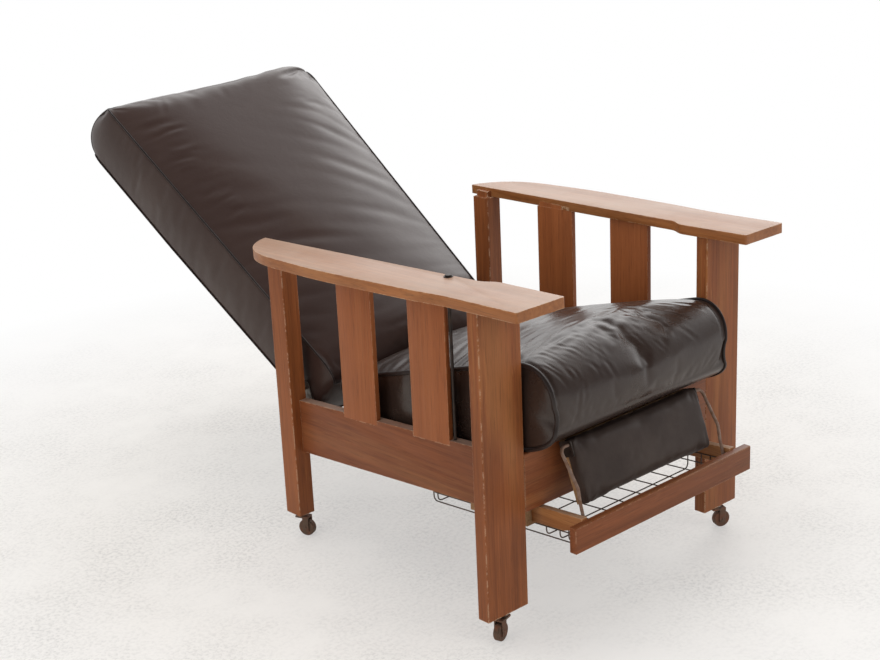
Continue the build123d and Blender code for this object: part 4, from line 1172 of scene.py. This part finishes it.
@dataclass
class Setting:
    """The pale floor, the soft lights and the camera."""

    position: Point = (-2.11143, -2.44073, 1.44709)
    yaw: float = -42.188
    pitch: float = 18.203
    roll: float = -2.648
    lens: float = 64.25
    near_white: float = 0.43
    overhead: float = 0.25
    near_side: float = 0.15
    room: float = 1.35
    window: float = 1.0
    panes: float = 1.1
    window_way: Point = (0.89, 0.12, 0.44)
    panes_way: Point = (0.64, 0.44, 0.63)
    daylight: float = 0.5
    floor_size: float = 60.0
    floor_way: Point = (0.9, 0.45, 0.0)
    ground: Colour = (0.84, 0.785, 0.715)
    stains: Colour = (0.36, 0.32, 0.27)

    def build(self) -> None:
        """Make the floor, lights, world and camera."""
        self.floor()
        self.lights()
        self.camera()
        scene = bpy.context.scene
        scene.view_settings.view_transform = "Standard"
        log.info("setting")

    def ahead(self) -> Vector:
        """The level way that the camera looks."""
        yaw = math.radians(self.yaw)
        return Vector((-math.sin(yaw), math.cos(yaw), 0))

    def floor(self) -> None:
        """A wide pale floor that turns white far from the chair."""
        bpy.ops.mesh.primitive_plane_add(size=self.floor_size, location=(0, 0, 0))
        floor = bpy.context.object
        floor.name = "floor"
        material, hand, surface, place = shader("floor_pale")
        far = hand.add("VectorMath", {0: place}, operation="LENGTH").outputs["Value"]
        blots = hand.ramp(hand.noise(place, 2.6, 6, 0.65), 0.36, 0.66)
        specks = hand.ramp(hand.noise(place, 120, 5, 0.7), 0.45, 0.62)
        shade = hand.times(blots, hand.maths("ADD", 0.15, hand.times(specks, 0.85)))
        hand.join(surface, {
            "Base Color": hand.mix(shade, (*self.ground, 1), (*self.stains, 1)),
            "Roughness": 0.65,
            "Specular IOR Level": 0.2,
        })
        glow = hand.add("Emission", {"Color": (1, 1, 1, 1), "Strength": 1.0})
        ray = hand.add("LightPath")
        away = hand.dot(place, self.floor_way)
        mirrored = hand.times(ray.outputs["Is Glossy Ray"], hand.ramp(away, -0.6, 1.8, (0.15, 1.0)))
        seen = hand.maths("MAXIMUM", ray.outputs["Is Camera Ray"], mirrored)
        share = hand.times(hand.ramp(far, 0.7, 1.9, (self.near_white, 1.0)), seen)
        both = hand.add("MixShader", {0: share, 1: surface.outputs[0], 2: glow.outputs[0]})
        end = material.node_tree.nodes["Material Output"]
        hand.tree.links.new(both.outputs[0], end.inputs["Surface"])
        floor.data.materials.append(material)

    def lights(self) -> None:
        """Large soft lamps, and a world that is plain white to the camera and a room to shiny faces."""
        for name, place, aim, size, power in (
            ("key", (-0.4, 0.6, 3.9), (0, 0, 0.4), 2.4, 52.0),
            ("side", (2.9, 1.3, 2.6), (0, 0.2, 0.6), 2.6, 40.0),
            ("left", (-3.8, -0.6, 1.6), (0, 0, 0.4), 2.8, 52.0),
            ("front", (1.2, -4.2, 1.7), (0, -0.2, 0.4), 3.0, 48.0),
        ):
            data = bpy.data.lights.new(name, "AREA")
            data.shape = "SQUARE"
            data.size = size
            data.energy = power
            lamp = new_object(name, data)
            lamp.location = place
            lamp.visible_glossy = False
            lamp.rotation_euler = (Vector(aim) - Vector(place)).to_track_quat("-Z", "Y").to_euler()
        world = bpy.data.worlds.new("plain_world")
        bpy.context.scene.world = world
        world.use_nodes = True
        hand = Tree(world.node_tree)
        ray = hand.add("LightPath")
        seen = hand.maths("MAXIMUM", ray.outputs["Is Camera Ray"], ray.outputs["Is Glossy Ray"])
        back = world.node_tree.nodes["Background"]
        back.inputs["Color"].default_value = (1, 1, 1, 1)
        way = hand.add("TexCoord").outputs["Generated"]
        height = hand.add("SeparateXYZ", {0: way}).outputs[2]
        behind = hand.dot(way, self.ahead())
        above = hand.maths("SUBTRACT", height, hand.times(behind, 0.5))
        room = hand.ramp(above, 0.25, 0.78, (self.room, self.overhead))
        room = hand.times(room, hand.ramp(behind, -0.05, 0.6, (self.near_side, 1.0)))
        beside = hand.dot(way, self.window_way)
        room = hand.maths("ADD", room, hand.ramp(beside, 0.72, 0.99, (0.0, self.window)))
        beyond = hand.dot(way, self.panes_way)
        room = hand.maths("ADD", room, hand.ramp(beyond, 0.9, 0.985, (0.0, self.panes)))
        mirrored = hand.times(room, ray.outputs["Is Glossy Ray"])
        shown = hand.maths("MAXIMUM", mirrored, ray.outputs["Is Camera Ray"])
        lit = hand.times(hand.maths("SUBTRACT", 1.0, seen), self.daylight)
        hand.tree.links.new(hand.maths("ADD", shown, lit), back.inputs["Strength"])

    def camera(self) -> None:
        """The camera at the photograph's place and angle."""
        yaw, pitch, roll = (math.radians(a) for a in (self.yaw, self.pitch, self.roll))
        ahead = Vector((-math.sin(yaw) * math.cos(pitch), math.cos(yaw) * math.cos(pitch), -math.sin(pitch)))
        level = Vector((math.cos(yaw), math.sin(yaw), 0))
        above = level.cross(ahead)
        right = level * math.cos(roll) + above * math.sin(roll)
        up = above * math.cos(roll) - level * math.sin(roll)
        data = bpy.data.cameras.new("camera")
        data.lens = self.lens
        data.sensor_width = 36.0
        camera = new_object("camera", data)
        turn = Matrix((right, up, -ahead)).transposed().to_4x4()
        camera.matrix_world = Matrix.Translation(Vector(self.position)) @ turn
        bpy.context.scene.camera = camera


def main() -> None:
    """Build the chair's looks around the frame."""
    logging.basicConfig(level=logging.INFO, format="%(message)s")
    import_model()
    deselect()
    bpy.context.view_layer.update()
    Setting().build()
    finishes = Finishes(Effects())
    Woodwork(finishes).build()
    Ironwork(finishes).build()
    Basket(finishes).build()
    SeatCushion(finishes).build()
    BackCushion(finishes).build()
    Footrest(finishes).build()


if __name__ == "__main__":
    main()
